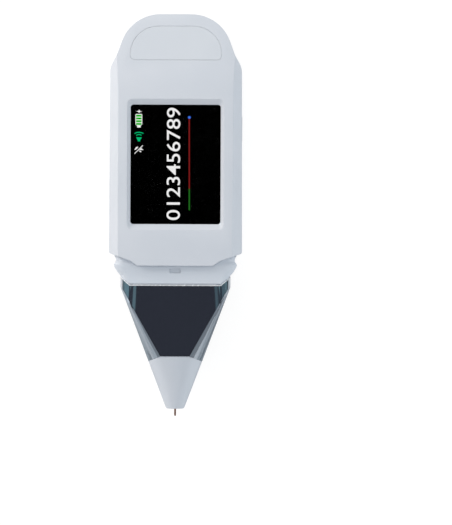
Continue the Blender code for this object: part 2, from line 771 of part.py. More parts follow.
RECESS_OUTLINE = box_outline(
    RECESS_HALF_WIDTH, down(RECESS_BOTTOM_STATION), down(RECESS_TOP_STATION), RECESS_CORNER
)
WINDOW_OUTLINE = box_outline(
    WINDOW_HALF_WIDTH, down(WINDOW_BOTTOM_STATION), down(WINDOW_TOP_STATION), WINDOW_CORNER
)
corner_steps = math.ceil(math.pi / 4 / math.acos(1 - SAGITTA / RECESS_CORNER))


def eased_corners(corners, height):
    """Ring of a rounded rectangle with the same number of points at every size."""
    ring = []
    for index, (x, y, radius) in enumerate(corners):
        middle = Vector((x - math.copysign(radius, x), y - math.copysign(radius, y - corners[index - 2][1])))
        start = (index - 1) * math.pi / 2
        for step in range(corner_steps + 1):
            turn = start + step * math.pi / 2 / corner_steps
            ring.append((middle.x + radius * math.cos(turn), middle.y + radius * math.sin(turn), height))
    return ring


lip_height = CEILING + WINDOW_LIP
slope_share = OVERCUT / (CASE_DEPTH - lip_height)


def beyond(outer, inner):
    """Carries the slope of the recess on above the front of the case."""
    carried_on = []
    for far, near in zip(outer, inner):
        x, y = [end + (end - start) * slope_share for end, start in zip(far[:2], near[:2])]
        carried_on.append((x, y, far[2] + OVERCUT))
    return carried_on


mouth = eased_corners(RECESS_OUTLINE, CASE_DEPTH)
throat = eased_corners(WINDOW_OUTLINE, lip_height)
funnel = loft([beyond(mouth, throat), mouth, throat])
window = slab([WINDOW_OUTLINE], CEILING - OVERCUT, lip_height + WINDOW_LIP / 2)

slot_outline = shifted(
    box_outline(KEY_HALF_LENGTH + FIT_GAP, KEY_BASE_HEIGHT - FIT_GAP, KEY_TOP_HEIGHT + FIT_GAP, 0),
    down(KEY_STATION),
    0,
)
key_mouth = slab([slot_outline], KEY_FACE - SIDE_WALL, HIP_HALF_WIDTH + OVERCUT, "X")
inlet_mouth = slab(
    [box_outline(
        INLET_HALF_WIDTH + FIT_GAP,
        INLET_HEIGHT - INLET_HALF_HEIGHT - FIT_GAP,
        INLET_HEIGHT + INLET_HALF_HEIGHT + FIT_GAP,
        INLET_HALF_HEIGHT,
    )],
    down(SIDE_WALL + OVERCUT),
    down(-OVERCUT),
    "Y",
)

front_shell = place("front_shell", case_skin.copy())
keep(front_shell, case_slice(FRONT_SEAM, CASE_DEPTH + OVERCUT))
cut(front_shell, case_hollow.copy())
add(front_shell, at_posts(rod(POST_RADIUS, FRONT_SEAM, CEILING - OVERCUT / 2)))
cut(front_shell, funnel, window, badge_pocket, neck_hole.copy(), key_mouth.copy(), inlet_mouth.copy())
cut(front_shell, at_posts(rod(PILOT_RADIUS, MID_HEIGHT, FRONT_SEAM + PILOT_DEPTH)))
paint(front_shell, (0.60, 0.65, 0.71), 0.38)


# Rear shell with screw posts, battery ribs, a sounder ring and its sound slots

battery_middle = down(BATTERY_TOP_STATION + BATTERY_LENGTH / 2)
rib_top = REAR_WALL + RIB_HEIGHT
rib_base = REAR_WALL - OVERCUT / 2
rib_offset = FIT_GAP + RIB_THICKNESS / 2
side_rib_x = BATTERY_HALF_WIDTH + rib_offset
end_rib_y = BATTERY_LENGTH / 2 + rib_offset
battery_ribs = []
for way in (-1, 1):
    end_y = around(battery_middle + way * end_rib_y, RIB_THICKNESS / 2)
    battery_ribs.append(block(around(0, RIB_LENGTH / 2), end_y, (rib_base, rib_top)))
    side_y = around(battery_middle + way * BATTERY_LENGTH / 4, RIB_LENGTH / 2)
    for side in (-1, 1):
        side_x = around(side * side_rib_x, RIB_THICKNESS / 2)
        battery_ribs.append(block(side_x, side_y, (rib_base, rib_top)))
ring_inner = SPEAKER_RADIUS + FIT_GAP
ring_outer = ring_inner + RIB_THICKNESS
ring_top = REAR_WALL + SPEAKER_WALL_HEIGHT
sounder_ring = turned([
    (ring_outer, ring_top),
    (ring_outer, rib_base),
    (ring_inner, rib_base),
    (ring_inner, ring_top),
])
sounder_ring.transform(Matrix.Translation((0, down(SPEAKER_STATION), 0)))
sound_slot = box_outline(
    SOUND_SLOT_HALF_LENGTH, -SOUND_SLOT_HALF_WIDTH, SOUND_SLOT_HALF_WIDTH, SOUND_SLOT_HALF_WIDTH / 2
)
slot_places = [
    down(SPEAKER_STATION) + (index - (SOUND_SLOT_COUNT - 1) / 2) * SOUND_SLOT_PITCH
    for index in range(SOUND_SLOT_COUNT)
]
sound_slots = joined([
    slab([shifted(sound_slot, 0, place_y)], -OVERCUT, REAR_WALL + OVERCUT) for place_y in slot_places
])

rear_shell = place("rear_shell", case_skin.copy())
keep(rear_shell, case_slice(-OVERCUT, REAR_SEAM))
cut(rear_shell, case_hollow.copy())
add(rear_shell, at_posts(rod(POST_RADIUS, rib_base, REAR_SEAM)), joined(battery_ribs), sounder_ring)
cut(rear_shell, sound_slots, neck_hole, key_mouth, inlet_mouth)
cut(rear_shell, at_posts(rod(SCREW_HEAD_WELL, -OVERCUT, SCREW_SEAT_HEIGHT)))
cut(rear_shell, at_posts(rod(PILOT_RADIUS, 0, MID_HEIGHT)))
paint(rear_shell, (0.60, 0.65, 0.71), 0.42)


# Four case screws, each with a straight slot in its head

head_base = SCREW_SEAT_HEIGHT - FIT_GAP - SCREW_HEAD_HEIGHT
head_top = SCREW_SEAT_HEIGHT - FIT_GAP
screw_blank = turned([
    (0, head_base + SCREW_LENGTH),
    (SCREW_SHANK_RADIUS - SCREW_EDGE, head_base + SCREW_LENGTH),
    (SCREW_SHANK_RADIUS, head_base + SCREW_LENGTH - SCREW_EDGE),
    (SCREW_SHANK_RADIUS, head_top),
    (SCREW_HEAD_RADIUS, head_top),
    (SCREW_HEAD_RADIUS, head_base + SCREW_EDGE),
    (SCREW_HEAD_RADIUS - SCREW_EDGE, head_base),
    (0, head_base),
])
for number, (x, y) in enumerate(post_places(), 1):
    screw = place("case_screw_{}".format(number), screw_blank.copy())
    screw.location = (x, y, 0)
    slot_levels = (head_base - OVERCUT, head_base + SCREW_SLOT_DEPTH)
    slot = block(around(x, SCREW_SLOT_LENGTH / 2), around(y, SCREW_SLOT_WIDTH / 2), slot_levels)
    cut(screw, slot)
    smooth(screw)
    paint(screw, (0.30, 0.30, 0.32), 0.35, 1.0)


# Lens, dust seal and display module stacked behind the window

LENS_OUTLINE = inset_outline(WINDOW_OUTLINE, -LENS_MARGIN)
lens = place("screen_lens", slab([LENS_OUTLINE], LENS_BASE, LENS_TOP))
paint(lens, (0.01, 0.01, 0.012), 0.08)

seal_hole = inset_outline(WINDOW_OUTLINE, -SEAL_INNER_MARGIN)
seal = place("lens_seal", slab([inset_outline(LENS_OUTLINE, FIT_GAP), seal_hole], SEAL_BASE, SEAL_TOP))
paint(seal, (0.02, 0.02, 0.02), 0.9)

DISPLAY_OUTLINE = box_outline(
    DISPLAY_HALF_WIDTH, down(DISPLAY_BOTTOM_STATION), down(DISPLAY_TOP_STATION), DISPLAY_CORNER
)
display = place("display_module", slab([DISPLAY_OUTLINE], DISPLAY_BASE, DISPLAY_TOP))
glass_outline = inset_outline(DISPLAY_OUTLINE, DISPLAY_RIM_WIDTH)
cut(display, slab([glass_outline], DISPLAY_TOP - DISPLAY_RIM_HEIGHT, DISPLAY_TOP + OVERCUT))
paint(display, (0.02, 0.02, 0.025), 0.3)

flex_high = (DISPLAY_TOP + DISPLAY_BASE) / 2
flex_low = BOARD_TOP + STRIP_LIFT
flex = place("display_flex", strip(
    [
        (down(DISPLAY_TOP_STATION - FIT_GAP), flex_high),
        (down((DISPLAY_TOP_STATION + FLEX_TURN_STATION) / 2), (flex_high + flex_low) / 2),
        (down(FLEX_TURN_STATION), flex_low),
        (down(FLEX_END_STATION), flex_low),
    ],
    FLEX_HALF_WIDTH,
    STRIP_THICKNESS,
    "X",
))
paint(flex, (0.45, 0.22, 0.05), 0.45)


# Main board with its processor, notched for the inlet and bored for the upper posts

inlet_end = INLET_STATION + INLET_LENGTH
notch_half_width = INLET_HALF_WIDTH + FIT_GAP
BOARD_OUTLINE = mirrored([
    (BOARD_HALF_WIDTH, down(BOARD_BOTTOM_STATION), BOARD_CORNER),
    (BOARD_HALF_WIDTH, down(BOARD_SHOULDER_STATION), BOARD_CORNER),
    (BOARD_HEAD_HALF_WIDTH, down(BOARD_HEAD_STATION), BOARD_CORNER),
    (notch_half_width, down(BOARD_HEAD_STATION), 0),
    (notch_half_width, down(inlet_end + FIT_GAP), 0),
])
board = place("main_board", slab([BOARD_OUTLINE], BOARD_BASE, BOARD_TOP))
board_bores = rod(POST_RADIUS + FIT_GAP, BOARD_BASE - OVERCUT, BOARD_TOP + OVERCUT)
upper_bores = [
    copied(board_bores, Matrix.Translation((side * UPPER_POST_HALF_SPAN, down(UPPER_POST_STATION), 0)))
    for side in (-1, 1)
]
cut(board, joined(upper_bores))
paint(board, (0.02, 0.16, 0.07), 0.5)

chip_y = around(down(CHIP_STATION), CHIP_HALF_SIDE)
chip_levels = (PARTS_LEVEL - CHIP_THICKNESS, PARTS_LEVEL)
chip = place("processor", block(around(0, CHIP_HALF_SIDE), chip_y, chip_levels))
paint(chip, (0.02, 0.02, 0.02), 0.5)

inlet_outline = box_outline(
    INLET_HALF_WIDTH,
    INLET_HEIGHT - INLET_HALF_HEIGHT,
    INLET_HEIGHT + INLET_HALF_HEIGHT,
    INLET_HALF_HEIGHT - INLET_WALL / 2,
)
inlet = place("charging_inlet", slab([inlet_outline], down(inlet_end), down(INLET_STATION), "Y"))
inlet_floor = down(INLET_STATION + INLET_CAVITY)
cut(inlet, slab([inset_outline(inlet_outline, INLET_WALL)], inlet_floor, down(-OVERCUT), "Y"))
add(inlet, block(
    around(0, INLET_TONGUE_HALF_WIDTH),
    (inlet_floor - OVERCUT / 2, inlet_floor + INLET_TONGUE_LENGTH),
    around(INLET_HEIGHT, INLET_TONGUE_HALF_HEIGHT),
))
paint(inlet, (0.62, 0.63, 0.65), 0.3, 1.0)


# Power key let into the right side, and the switch it presses

key_y = down(KEY_STATION)
flange_top = KEY_FACE - FIT_GAP
flange_base = flange_top - KEY_FLANGE_THICKNESS
key_outline = box_outline(KEY_HALF_LENGTH, KEY_BASE_HEIGHT, KEY_TOP_HEIGHT, KEY_CORNER)
key_cap = (flange_base - KEY_FACE, HIP_HALF_WIDTH - KEY_INSET - KEY_FACE)
key = place("power_key", slab([key_outline], *key_cap, "X"))
key.location = (KEY_FACE, key_y, 0)
key_flange_y = around(key_y, KEY_HALF_LENGTH + KEY_FLANGE)
add(key, block((flange_base, flange_top), key_flange_y, (KEY_BASE_HEIGHT, KEY_TOP_HEIGHT + KEY_FLANGE)))
paint(key, (0.55, 0.60, 0.66), 0.4)

switch_base = PARTS_LEVEL - SWITCH_THICKNESS
plunger_height = (switch_base + PARTS_LEVEL) / 2
plunger_tip = flange_base - FIT_GAP
plunger_root = SWITCH_REACH - PLUNGER_DEPTH
hole_end = plunger_root - KEY_TRAVEL - FIT_GAP
switch = place("key_switch", block(
    (SWITCH_REACH - SWITCH_WIDTH, SWITCH_REACH),
    around(key_y, SWITCH_HALF_LENGTH),
    (switch_base, PARTS_LEVEL),
))
cut(switch, block(
    (hole_end, SWITCH_REACH + OVERCUT),
    around(key_y, PLUNGER_HALF_LENGTH + FIT_GAP),
    around(plunger_height, PLUNGER_HALF_HEIGHT + FIT_GAP),
))
paint(switch, (0.55, 0.56, 0.58), 0.35, 1.0)

plunger = place("switch_plunger", block(
    (plunger_root - plunger_tip, 0), around(0, PLUNGER_HALF_LENGTH), around(0, PLUNGER_HALF_HEIGHT)
))
plunger.location = (plunger_tip, key_y, plunger_height)
paint(plunger, (0.03, 0.03, 0.03), 0.5)


# Battery on its foam pad, and the sounder in the head

battery_y = (down(BATTERY_BOTTOM_STATION), down(BATTERY_TOP_STATION))
battery_section = box_outline(BATTERY_HALF_WIDTH, BATTERY_BASE, BATTERY_TOP, BATTERY_EDGE)
battery = place("battery", slab([battery_section], *battery_y, "Y"))
paint(battery, (0.35, 0.36, 0.38), 0.35)

pad_outline = box_outline(
    BATTERY_HALF_WIDTH - PAD_MARGIN, battery_y[0] + PAD_MARGIN, battery_y[1] - PAD_MARGIN, PAD_MARGIN / 2
)
pad = place("battery_pad", slab([pad_outline], PAD_BASE, PAD_BASE + PAD_THICKNESS))
paint(pad, (0.05, 0.05, 0.055), 0.95)

speaker_top = SPEAKER_THICKNESS
speaker = place("speaker", turned([
    (0, speaker_top),
    (SPEAKER_RADIUS - SPEAKER_RIM, speaker_top),
    (SPEAKER_RADIUS, speaker_top - SPEAKER_RIM / 2),
    (SPEAKER_RADIUS, 0),
    (SPEAKER_RADIUS - SPEAKER_RIM, 0),
    (SPEAKER_DOME_RADIUS, SPEAKER_CONE_DEPTH),
    (0, SPEAKER_CONE_DEPTH / 2),
]))
speaker.location = (0, down(SPEAKER_STATION), REAR_WALL + FIT_GAP)
smooth(speaker)
paint(speaker, (0.04, 0.04, 0.045), 0.5)


# Collar: lofted skirt under the case, a root inside the shells and a sleeve into the grip

def bar_ring(half_width, half_depth, radius, station):
    """Ring of a rounded bar section with the same number of points at every size."""
    section = box_outline(half_width, *around(MID_HEIGHT, half_depth), radius)
    return [(x, down(station), z) for x, z, level in eased_corners(section, 0)]


collar_length = COLLAR_BOTTOM_STATION - COLLAR_TOP_STATION
collar_rings = []
for station_share, inset_share in zip(COLLAR_STATION_SHARES, COLLAR_INSET_SHARES):
    collar_rings.append(bar_ring(
        COLLAR_HALF_WIDTH - COLLAR_SIDE_INSET * inset_share,
        COLLAR_HALF_DEPTH - COLLAR_FACE_INSET * inset_share,
        COLLAR_CORNER,
        COLLAR_TOP_STATION + collar_length * station_share,
    ))
collar_reach = COLLAR_HALF_WIDTH + OVERCUT
collar_cut_rise = (collar_reach - COLLAR_CUT_HALF_WIDTH) * COLLAR_CUT_SLOPE_SHARE
collar_outline = mirrored([
    (COLLAR_CUT_HALF_WIDTH, down(COLLAR_BOTTOM_STATION), 0),
    (collar_reach, down(COLLAR_BOTTOM_STATION - collar_cut_rise), 0),
    (collar_reach, down(COLLAR_TOP_STATION - OVERCUT), 0),
])
collar = place("neck_collar", loft(collar_rings))
keep(collar, slab([collar_outline], -OVERCUT, CASE_DEPTH + OVERCUT))
cut(collar, slab([inset_outline(CASE_OUTLINE, -FIT_GAP)], -OVERCUT, CASE_DEPTH + OVERCUT))
root = place("collar_root", case_form(SIDE_WALL + FIT_GAP, ROOT_FACE_INSET, ROOT_FACE_INSET))
keep(root, case_slice(-OVERCUT, CASE_DEPTH + OVERCUT, ROOT_TOP_STATION))
add(collar, settled(root))
neck_ends = (ROOT_TOP_STATION + OVERCUT, CHIN_STATION + 2 * OVERCUT)
sleeve_ends = (CHIN_STATION + OVERCUT, SLEEVE_BOTTOM_STATION)
passage_ends = (ROOT_TOP_STATION - OVERCUT, SLEEVE_BOTTOM_STATION + OVERCUT)
add(collar, prism(NECK_HALF_WIDTH, NECK_HALF_DEPTH, NECK_CORNER, *neck_ends))
add(collar, prism(SLEEVE_HALF_WIDTH, SLEEVE_HALF_DEPTH, NECK_CORNER, *sleeve_ends))
cut(collar, prism(PASSAGE_HALF_WIDTH, PASSAGE_HALF_DEPTH, PASSAGE_CORNER, *passage_ends))
detent_outline = box_outline(
    DETENT_HALF_WIDTH, down(DETENT_BOTTOM_STATION), down(DETENT_TOP_STATION), DETENT_CORNER
)
detent_floor = MID_HEIGHT + COLLAR_HALF_DEPTH - DETENT_DEPTH
cut(collar, slab([detent_outline], detent_floor, CASE_DEPTH))
paint(collar, (0.60, 0.65, 0.71), 0.4)


# Grip: rounded bar narrowed by two flanks that grow wider toward the nose

def flank_ring(crest, reach, depth, station):
    """Ring flat in the middle of its front and rear, with an elliptical flank on each side."""
    ring = []
    for side, turn in ((1, 0), (-1, 1), (-1, 2), (1, 3)):
        for step in range(FLANK_STEPS + 1):
            angle = (turn + step / FLANK_STEPS) * math.pi / 2
            x = side * crest + (reach - crest) * math.cos(angle)
            ring.append((x, down(station), MID_HEIGHT + depth * math.sin(angle)))
    return ring


def straight(start, end, station):
    """Value at a station on the line through two (station, value) pairs."""
    share = (station - start[0]) / (end[0] - start[0])
    return start[1] + (end[1] - start[1]) * share


flank_share = math.sqrt(1 - (GRIP_HALF_DEPTH / FLANK_DEPTH) ** 2)
GRIP_REACH = ((GRIP_KNEE_STATION, GRIP_KNEE_HALF_WIDTH), (NOSE_SIDE_STATION, NOSE_SIDE_HALF_WIDTH))
GRIP_CREST = ((GRIP_KNEE_STATION, GRIP_KNEE_CREST), (NOSE_STATION, NOSE_CREST))
grip_low = NOSE_SIDE_STATION + 2 * OVERCUT
grip_high = PANEL_SIDE_TOP_STATION - 2 * OVERCUT


def grip_ring(station, inset):
    """Ring of the narrowing flanks whose crest meets the front at the crest line."""
    reach = straight(*GRIP_REACH, station)
    crest = (straight(*GRIP_CREST, station) - reach * flank_share) / (1 - flank_share)
    return flank_ring(max(crest - inset, NOSE_END_CREST), reach - inset, FLANK_DEPTH - inset, station)


def grip_form(inset):
    """Body of the grip with its whole surface moved inward by an inset."""
    faces = around(MID_HEIGHT, GRIP_HALF_DEPTH)
    section = inset_outline(box_outline(GRIP_HALF_WIDTH, *faces, GRIP_CORNER), inset)
    form = place("grip_form", slab([section], down(grip_low), down(grip_high), "Y"))
    shoulder = grip_ring(FLANK_TOP_STATION, inset)
    top = [(x, down(grip_high - OVERCUT), z) for x, y, z in shoulder]
    keep(form, loft([top, shoulder, grip_ring(grip_low + OVERCUT, inset)]))
    return settled(form)


frame_reach = GRIP_HALF_WIDTH + OVERCUT
frame_cut_rise = (frame_reach - COLLAR_CUT_HALF_WIDTH) * COLLAR_CUT_SLOPE_SHARE
nose_fall = (frame_reach - NOSE_CREST) * NOSE_EDGE_SLOPE_SHARE
frame_outline = mirrored([
    (NOSE_CREST, down(NOSE_STATION - FIT_GAP), 0),
    (frame_reach, down(NOSE_STATION - FIT_GAP + nose_fall), 0),
    (frame_reach, down(GRIP_TOP_STATION - frame_cut_rise), 0),
    (COLLAR_CUT_HALF_WIDTH, down(GRIP_TOP_STATION), 0),
])


def panel_outline(bottom_station):
    bottom = PANEL_END_HALF_WIDTH - (bottom_station - NOSE_STATION) * CREST_SLOPE_SHARE
    return mirrored([
        (bottom, down(bottom_station), 0),
        (PANEL_SIDE_HALF_WIDTH, down(PANEL_SIDE_BOTTOM_STATION), 0),
        (PANEL_SIDE_HALF_WIDTH, down(PANEL_SIDE_TOP_STATION), 0),
        (PANEL_TOP_HALF_WIDTH, down(PANEL_TOP_STATION), 0),
    ])


panel_levels = (MID_HEIGHT + PANEL_BASE_HALF_DEPTH, CASE_DEPTH + OVERCUT)
pocket_outline = panel_outline(NOSE_STATION + 2 * OVERCUT)
panel_pocket = place("panel_pocket", slab([pocket_outline], *panel_levels))
cut(panel_pocket, grip_form(PANEL_THICKNESS + FIT_GAP))
front_pocket = settled(panel_pocket)
to_rear = Matrix.Translation((0, 0, CASE_DEPTH)) @ Matrix.Diagonal((1, 1, -1, 1))
sight_shift = PANEL_SHELF * math.hypot(1, CREST_SLOPE_SHARE)
sight_top = PANEL_TOP_STATION + PANEL_SHELF
sight_bottom = NOSE_STATION - FIT_GAP - PANEL_SHELF


def sight_corner(station):
    """Corner of the opening behind the panels, a shelf inside the slanting panel edge."""
    edge = PANEL_END_HALF_WIDTH + (NOSE_STATION - station) * CREST_SLOPE_SHARE
    return (edge - sight_shift, down(station), 0)


sight_outline = mirrored([sight_corner(sight_bottom), sight_corner(sight_top)])
sight = slab([sight_outline], -OVERCUT, CASE_DEPTH + OVERCUT)

contact_frame = place("contact_frame", grip_form(0))
keep(contact_frame, slab([frame_outline], -OVERCUT, CASE_DEPTH + OVERCUT))
# The sides of a pocket run out in thin wedges, which the exact solver can tear
for pocket in (front_pocket, copied(front_pocket, to_rear)):
    combine(contact_frame, "DIFFERENCE", pocket, "MANIFOLD")
cut(contact_frame, sight)
cut(contact_frame, prism(
    SLEEVE_HALF_WIDTH + FIT_GAP,
    SLEEVE_HALF_DEPTH + FIT_GAP,
    NECK_CORNER + FIT_GAP,
    GRIP_TOP_STATION - OVERCUT,
    SLEEVE_BOTTOM_STATION + OVERCUT,
))
spigot_bore = rod(SPIGOT_RADIUS + FIT_GAP, -OVERCUT, NOSE_SIDE_STATION - SPIGOT_TOP_STATION + OVERCUT)
cut(contact_frame, along(spigot_bore, SPIGOT_TOP_STATION))
paint(contact_frame, (0.72, 0.75, 0.79), 0.12, 1.0)

panel_blank = slab([inset_outline(panel_outline(NOSE_STATION), FIT_GAP)], *panel_levels)
for name, turn in (("front_grip_panel", None), ("rear_grip_panel", to_rear)):
    panel = place(name, panel_blank.copy() if turn is None else copied(panel_blank, turn))
    keep(panel, grip_form(0))
    cut(panel, grip_form(PANEL_THICKNESS))
    paint(panel, (0.015, 0.02, 0.035), 0.12)


# Nose cone, faceted at its top edge and round at its end

NOSE_REACH = ((NOSE_SIDE_STATION, NOSE_SIDE_HALF_WIDTH), (NOSE_ROUND_STATION, NOSE_ROUND_RADIUS))
NOSE_DEPTH = ((NOSE_STATION, NOSE_HALF_DEPTH), (NOSE_ROUND_STATION, NOSE_ROUND_RADIUS))
NOSE_FLAT = ((NOSE_STATION, NOSE_CREST), (NOSE_ROUND_STATION, NOSE_END_CREST))
nose_start = NOSE_STATION - OVERCUT
nose_rings = []
for index in range(NOSE_RINGS):
    station = nose_start + (NOSE_ROUND_STATION - nose_start) * index / (NOSE_RINGS - 1)
    sizes = [straight(*line, station) for line in (NOSE_FLAT, NOSE_REACH, NOSE_DEPTH)]
    nose_rings.append(flank_ring(*sizes, station))
tip_radius = NOSE_ROUND_RADIUS + (NOSE_END_RADIUS - NOSE_ROUND_RADIUS) * NOSE_TIP_RADIUS_SHARE
tip_station = NOSE_ROUND_STATION + (NOSE_END_STATION - NOSE_ROUND_STATION) * NOSE_TIP_STATION_SHARE
nose_rings.append(flank_ring(NOSE_END_CREST, tip_radius, tip_radius, tip_station))
nose_rings.append(flank_ring(NOSE_END_CREST, NOSE_END_RADIUS, NOSE_END_RADIUS, NOSE_END_STATION))
nose_reach = NOSE_SIDE_HALF_WIDTH + 2 * OVERCUT
nose_outline = mirrored([
    (nose_reach, down(NOSE_END_STATION + OVERCUT), 0),
    (nose_reach, down(NOSE_STATION + (nose_reach - NOSE_CREST) * NOSE_EDGE_SLOPE_SHARE), 0),
    (NOSE_CREST, down(NOSE_STATION), 0),
])
bore_end = BARREL_BOTTOM_STATION + FIT_GAP
nose = place("nose_cone", loft(nose_rings))
keep(nose, slab([nose_outline], -OVERCUT, CASE_DEPTH + OVERCUT))
add(nose, along(rod(SPIGOT_RADIUS, 0, NOSE_SIDE_STATION - SPIGOT_TOP_STATION), SPIGOT_TOP_STATION))
cut(nose, along(turned([
    (0, NOSE_END_STATION - SPIGOT_TOP_STATION + OVERCUT),
    (GUIDE_RADIUS + FIT_GAP, NOSE_END_STATION - SPIGOT_TOP_STATION + OVERCUT),
    (GUIDE_RADIUS + FIT_GAP, bore_end - SPIGOT_TOP_STATION),
    (BARREL_RADIUS + FIT_GAP, bore_end - SPIGOT_TOP_STATION),
    (BARREL_RADIUS + FIT_GAP, -OVERCUT),
    (0, -OVERCUT),
]), SPIGOT_TOP_STATION))
paint(nose, (0.62, 0.67, 0.73), 0.4)


# Sprung probe: barrel, plug, carrier, spring, needle and tip guide on the middle line

barrel_length = BARREL_BOTTOM_STATION - BARREL_TOP_STATION
barrel = place("probe_barrel", along(turned([
    (BARREL_RADIUS, barrel_length),
    (BARREL_RADIUS, 0),
    (BARREL_BORE, 0),
    (BARREL_BORE, barrel_length - BARREL_LIP),
    (BARREL_MOUTH, barrel_length - BARREL_LIP),
    (BARREL_MOUTH, barrel_length),
]), BARREL_TOP_STATION))
smooth(barrel)
paint(barrel, (0.60, 0.55, 0.40), 0.3, 1.0)

plug_start = BARREL_TOP_STATION - FIT_GAP - PLUG_FLANGE
plug_length = PLUG_BOTTOM_STATION - plug_start
plug = place("barrel_plug", along(turned([
    (BARREL_BORE - FIT_GAP, plug_length),
    (BARREL_BORE - FIT_GAP, PLUG_FLANGE),
    (BARREL_RADIUS, PLUG_FLANGE),
    (BARREL_RADIUS, 0),
    (PLUG_BORE, 0),
    (PLUG_BORE, plug_length),
]), plug_start))
smooth(plug)
paint(plug, (0.75, 0.75, 0.72), 0.5)


def carried(name, profile, station):
    """Turned piece whose origin stays on the probe axis at a station."""
    made = place(name, turned(profile))
    made.location = (0, down(station), MID_HEIGHT)
    made.rotation_euler = (math.pi / 2, 0, 0)
    smooth(made)
    return made


carrier_length = CARRIER_BOTTOM_STATION - CARRIER_TOP_STATION
needle_bore = NEEDLE_RADIUS + FIT_GAP
bore_floor = NEEDLE_TOP_STATION - FIT_GAP - CARRIER_TOP_STATION
carrier = carried("probe_carrier", [
    (needle_bore, carrier_length),
    (CARRIER_RADIUS - CARRIER_EDGE, carrier_length),
    (CARRIER_RADIUS, carrier_length - CARRIER_EDGE),
    (CARRIER_RADIUS, CARRIER_EDGE),
    (CARRIER_RADIUS - CARRIER_EDGE, 0),
    (PLUG_BORE / 2, 0),
    (PLUG_BORE / 2, bore_floor),
    (needle_bore, bore_floor),
], CARRIER_TOP_STATION)
paint(carrier, (0.62, 0.52, 0.25), 0.3, 1.0)

needle_length = NEEDLE_TIP_STATION - NEEDLE_TOP_STATION
needle = carried("probe_needle", [
    (0, needle_length),
    (NEEDLE_POINT_RADIUS, needle_length),
    (NEEDLE_RADIUS, needle_length - NEEDLE_POINT_LENGTH),
    (NEEDLE_RADIUS, 0),
    (0, 0),
], NEEDLE_TOP_STATION)
paint(needle, (0.42, 0.20, 0.12), 0.3, 1.0)

spring_start = PLUG_BOTTOM_STATION + FIT_GAP + SPRING_WIRE_RADIUS
spring_end = CARRIER_TOP_STATION - FIT_GAP - SPRING_WIRE_RADIUS
spring_pitch = (spring_end - spring_start) / SPRING_TURNS
coil = bpy.data.curves.new("coil", "CURVE")
coil.dimensions = "3D"
coil.bevel_depth = SPRING_WIRE_RADIUS
coil.bevel_resolution = 1
coil.use_fill_caps = True
wire = coil.splines.new("POLY")
wire_points = SPRING_TURNS * SPRING_POINTS_PER_TURN
wire.points.add(wire_points)
for index, target in enumerate(wire.points):
    turn = 2 * math.pi * index / SPRING_POINTS_PER_TURN
    y = down(spring_start + spring_pitch * index / SPRING_POINTS_PER_TURN)
    target.co = (SPRING_RADIUS * math.cos(turn), y, MID_HEIGHT + SPRING_RADIUS * math.sin(turn), 1)
coil_drawn = place("coil", coil)
spring = place("probe_spring", welded(snapshot(coil_drawn)))
bpy.data.objects.remove(coil_drawn, do_unlink=True)
smooth(spring)
paint(spring, (0.60, 0.60, 0.62), 0.3, 1.0)

guide_start = bore_end + FIT_GAP
guide_length = GUIDE_BOTTOM_STATION - guide_start
guide = place("tip_guide", along(turned([
    (GUIDE_RADIUS, guide_length),
    (GUIDE_RADIUS, 0),
    (needle_bore, 0),
    (needle_bore, guide_length),
]), guide_start))
smooth(guide)
paint(guide, (0.80, 0.78, 0.72), 0.45)


# Probe board with its chip, the ribbon to the main board and the leaf to the frame

probe_end = plug_start - FIT_GAP
probe_start = probe_end - PROBE_BOARD_LENGTH
probe_top = MID_HEIGHT + PROBE_BOARD_THICKNESS / 2
probe_board = place("probe_board", block(
    around(0, PROBE_BOARD_HALF_WIDTH),
    (down(probe_end), down(probe_start)),
    around(MID_HEIGHT, PROBE_BOARD_THICKNESS / 2),
))
paint(probe_board, (0.02, 0.14, 0.20), 0.5)

probe_chip_base = probe_top + FIT_GAP
probe_chip = place("probe_amplifier", block(
    around(0, PROBE_CHIP_HALF_SIDE),
    around(down(PROBE_CHIP_STATION), PROBE_CHIP_HALF_SIDE),
    (probe_chip_base, probe_chip_base + PROBE_CHIP_THICKNESS),
))
paint(probe_chip, (0.02, 0.02, 0.02), 0.5)

ribbon_high = BOARD_BASE - STRIP_LIFT
ribbon_low = probe_top + STRIP_LIFT
ribbon = place("probe_ribbon", strip(
    [
        (down(RIBBON_START_STATION), ribbon_high),
        (down(RIBBON_BEND_STATION), ribbon_high),
        (down((RIBBON_BEND_STATION + RIBBON_LEVEL_STATION) / 2), (ribbon_high + ribbon_low) / 2),
        (down(RIBBON_LEVEL_STATION), ribbon_low),
        (down(RIBBON_END_STATION), ribbon_low),
    ],
    RIBBON_HALF_WIDTH,
    STRIP_THICKNESS,
    "X",
))
paint(ribbon, (0.55, 0.55, 0.58), 0.5)

leaf_tip = sight_corner(LEAF_STATION + LEAF_HALF_WIDTH)[0] - STRIP_LIFT
leaf = place("contact_leaf", strip(
    [
        (LEAF_FOOT, ribbon_low),
        (LEAF_HEEL, ribbon_low),
        (leaf_tip - LEAF_HOOK, ribbon_low + LEAF_RISE),
        (leaf_tip, ribbon_low + LEAF_RISE - LEAF_TIP_DROP),
    ],
    LEAF_HALF_WIDTH,
    STRIP_THICKNESS,
    "Y",
))
paint(leaf, (0.75, 0.60, 0.25), 0.3, 1.0)
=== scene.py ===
# Handheld diamond tester lying on its back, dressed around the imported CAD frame.
# The needle points toward -Y, the head toward +Y and the screen faces up. Lengths are in metres.

import json
import math

import bmesh
import bpy
from mathutils import Matrix, Vector

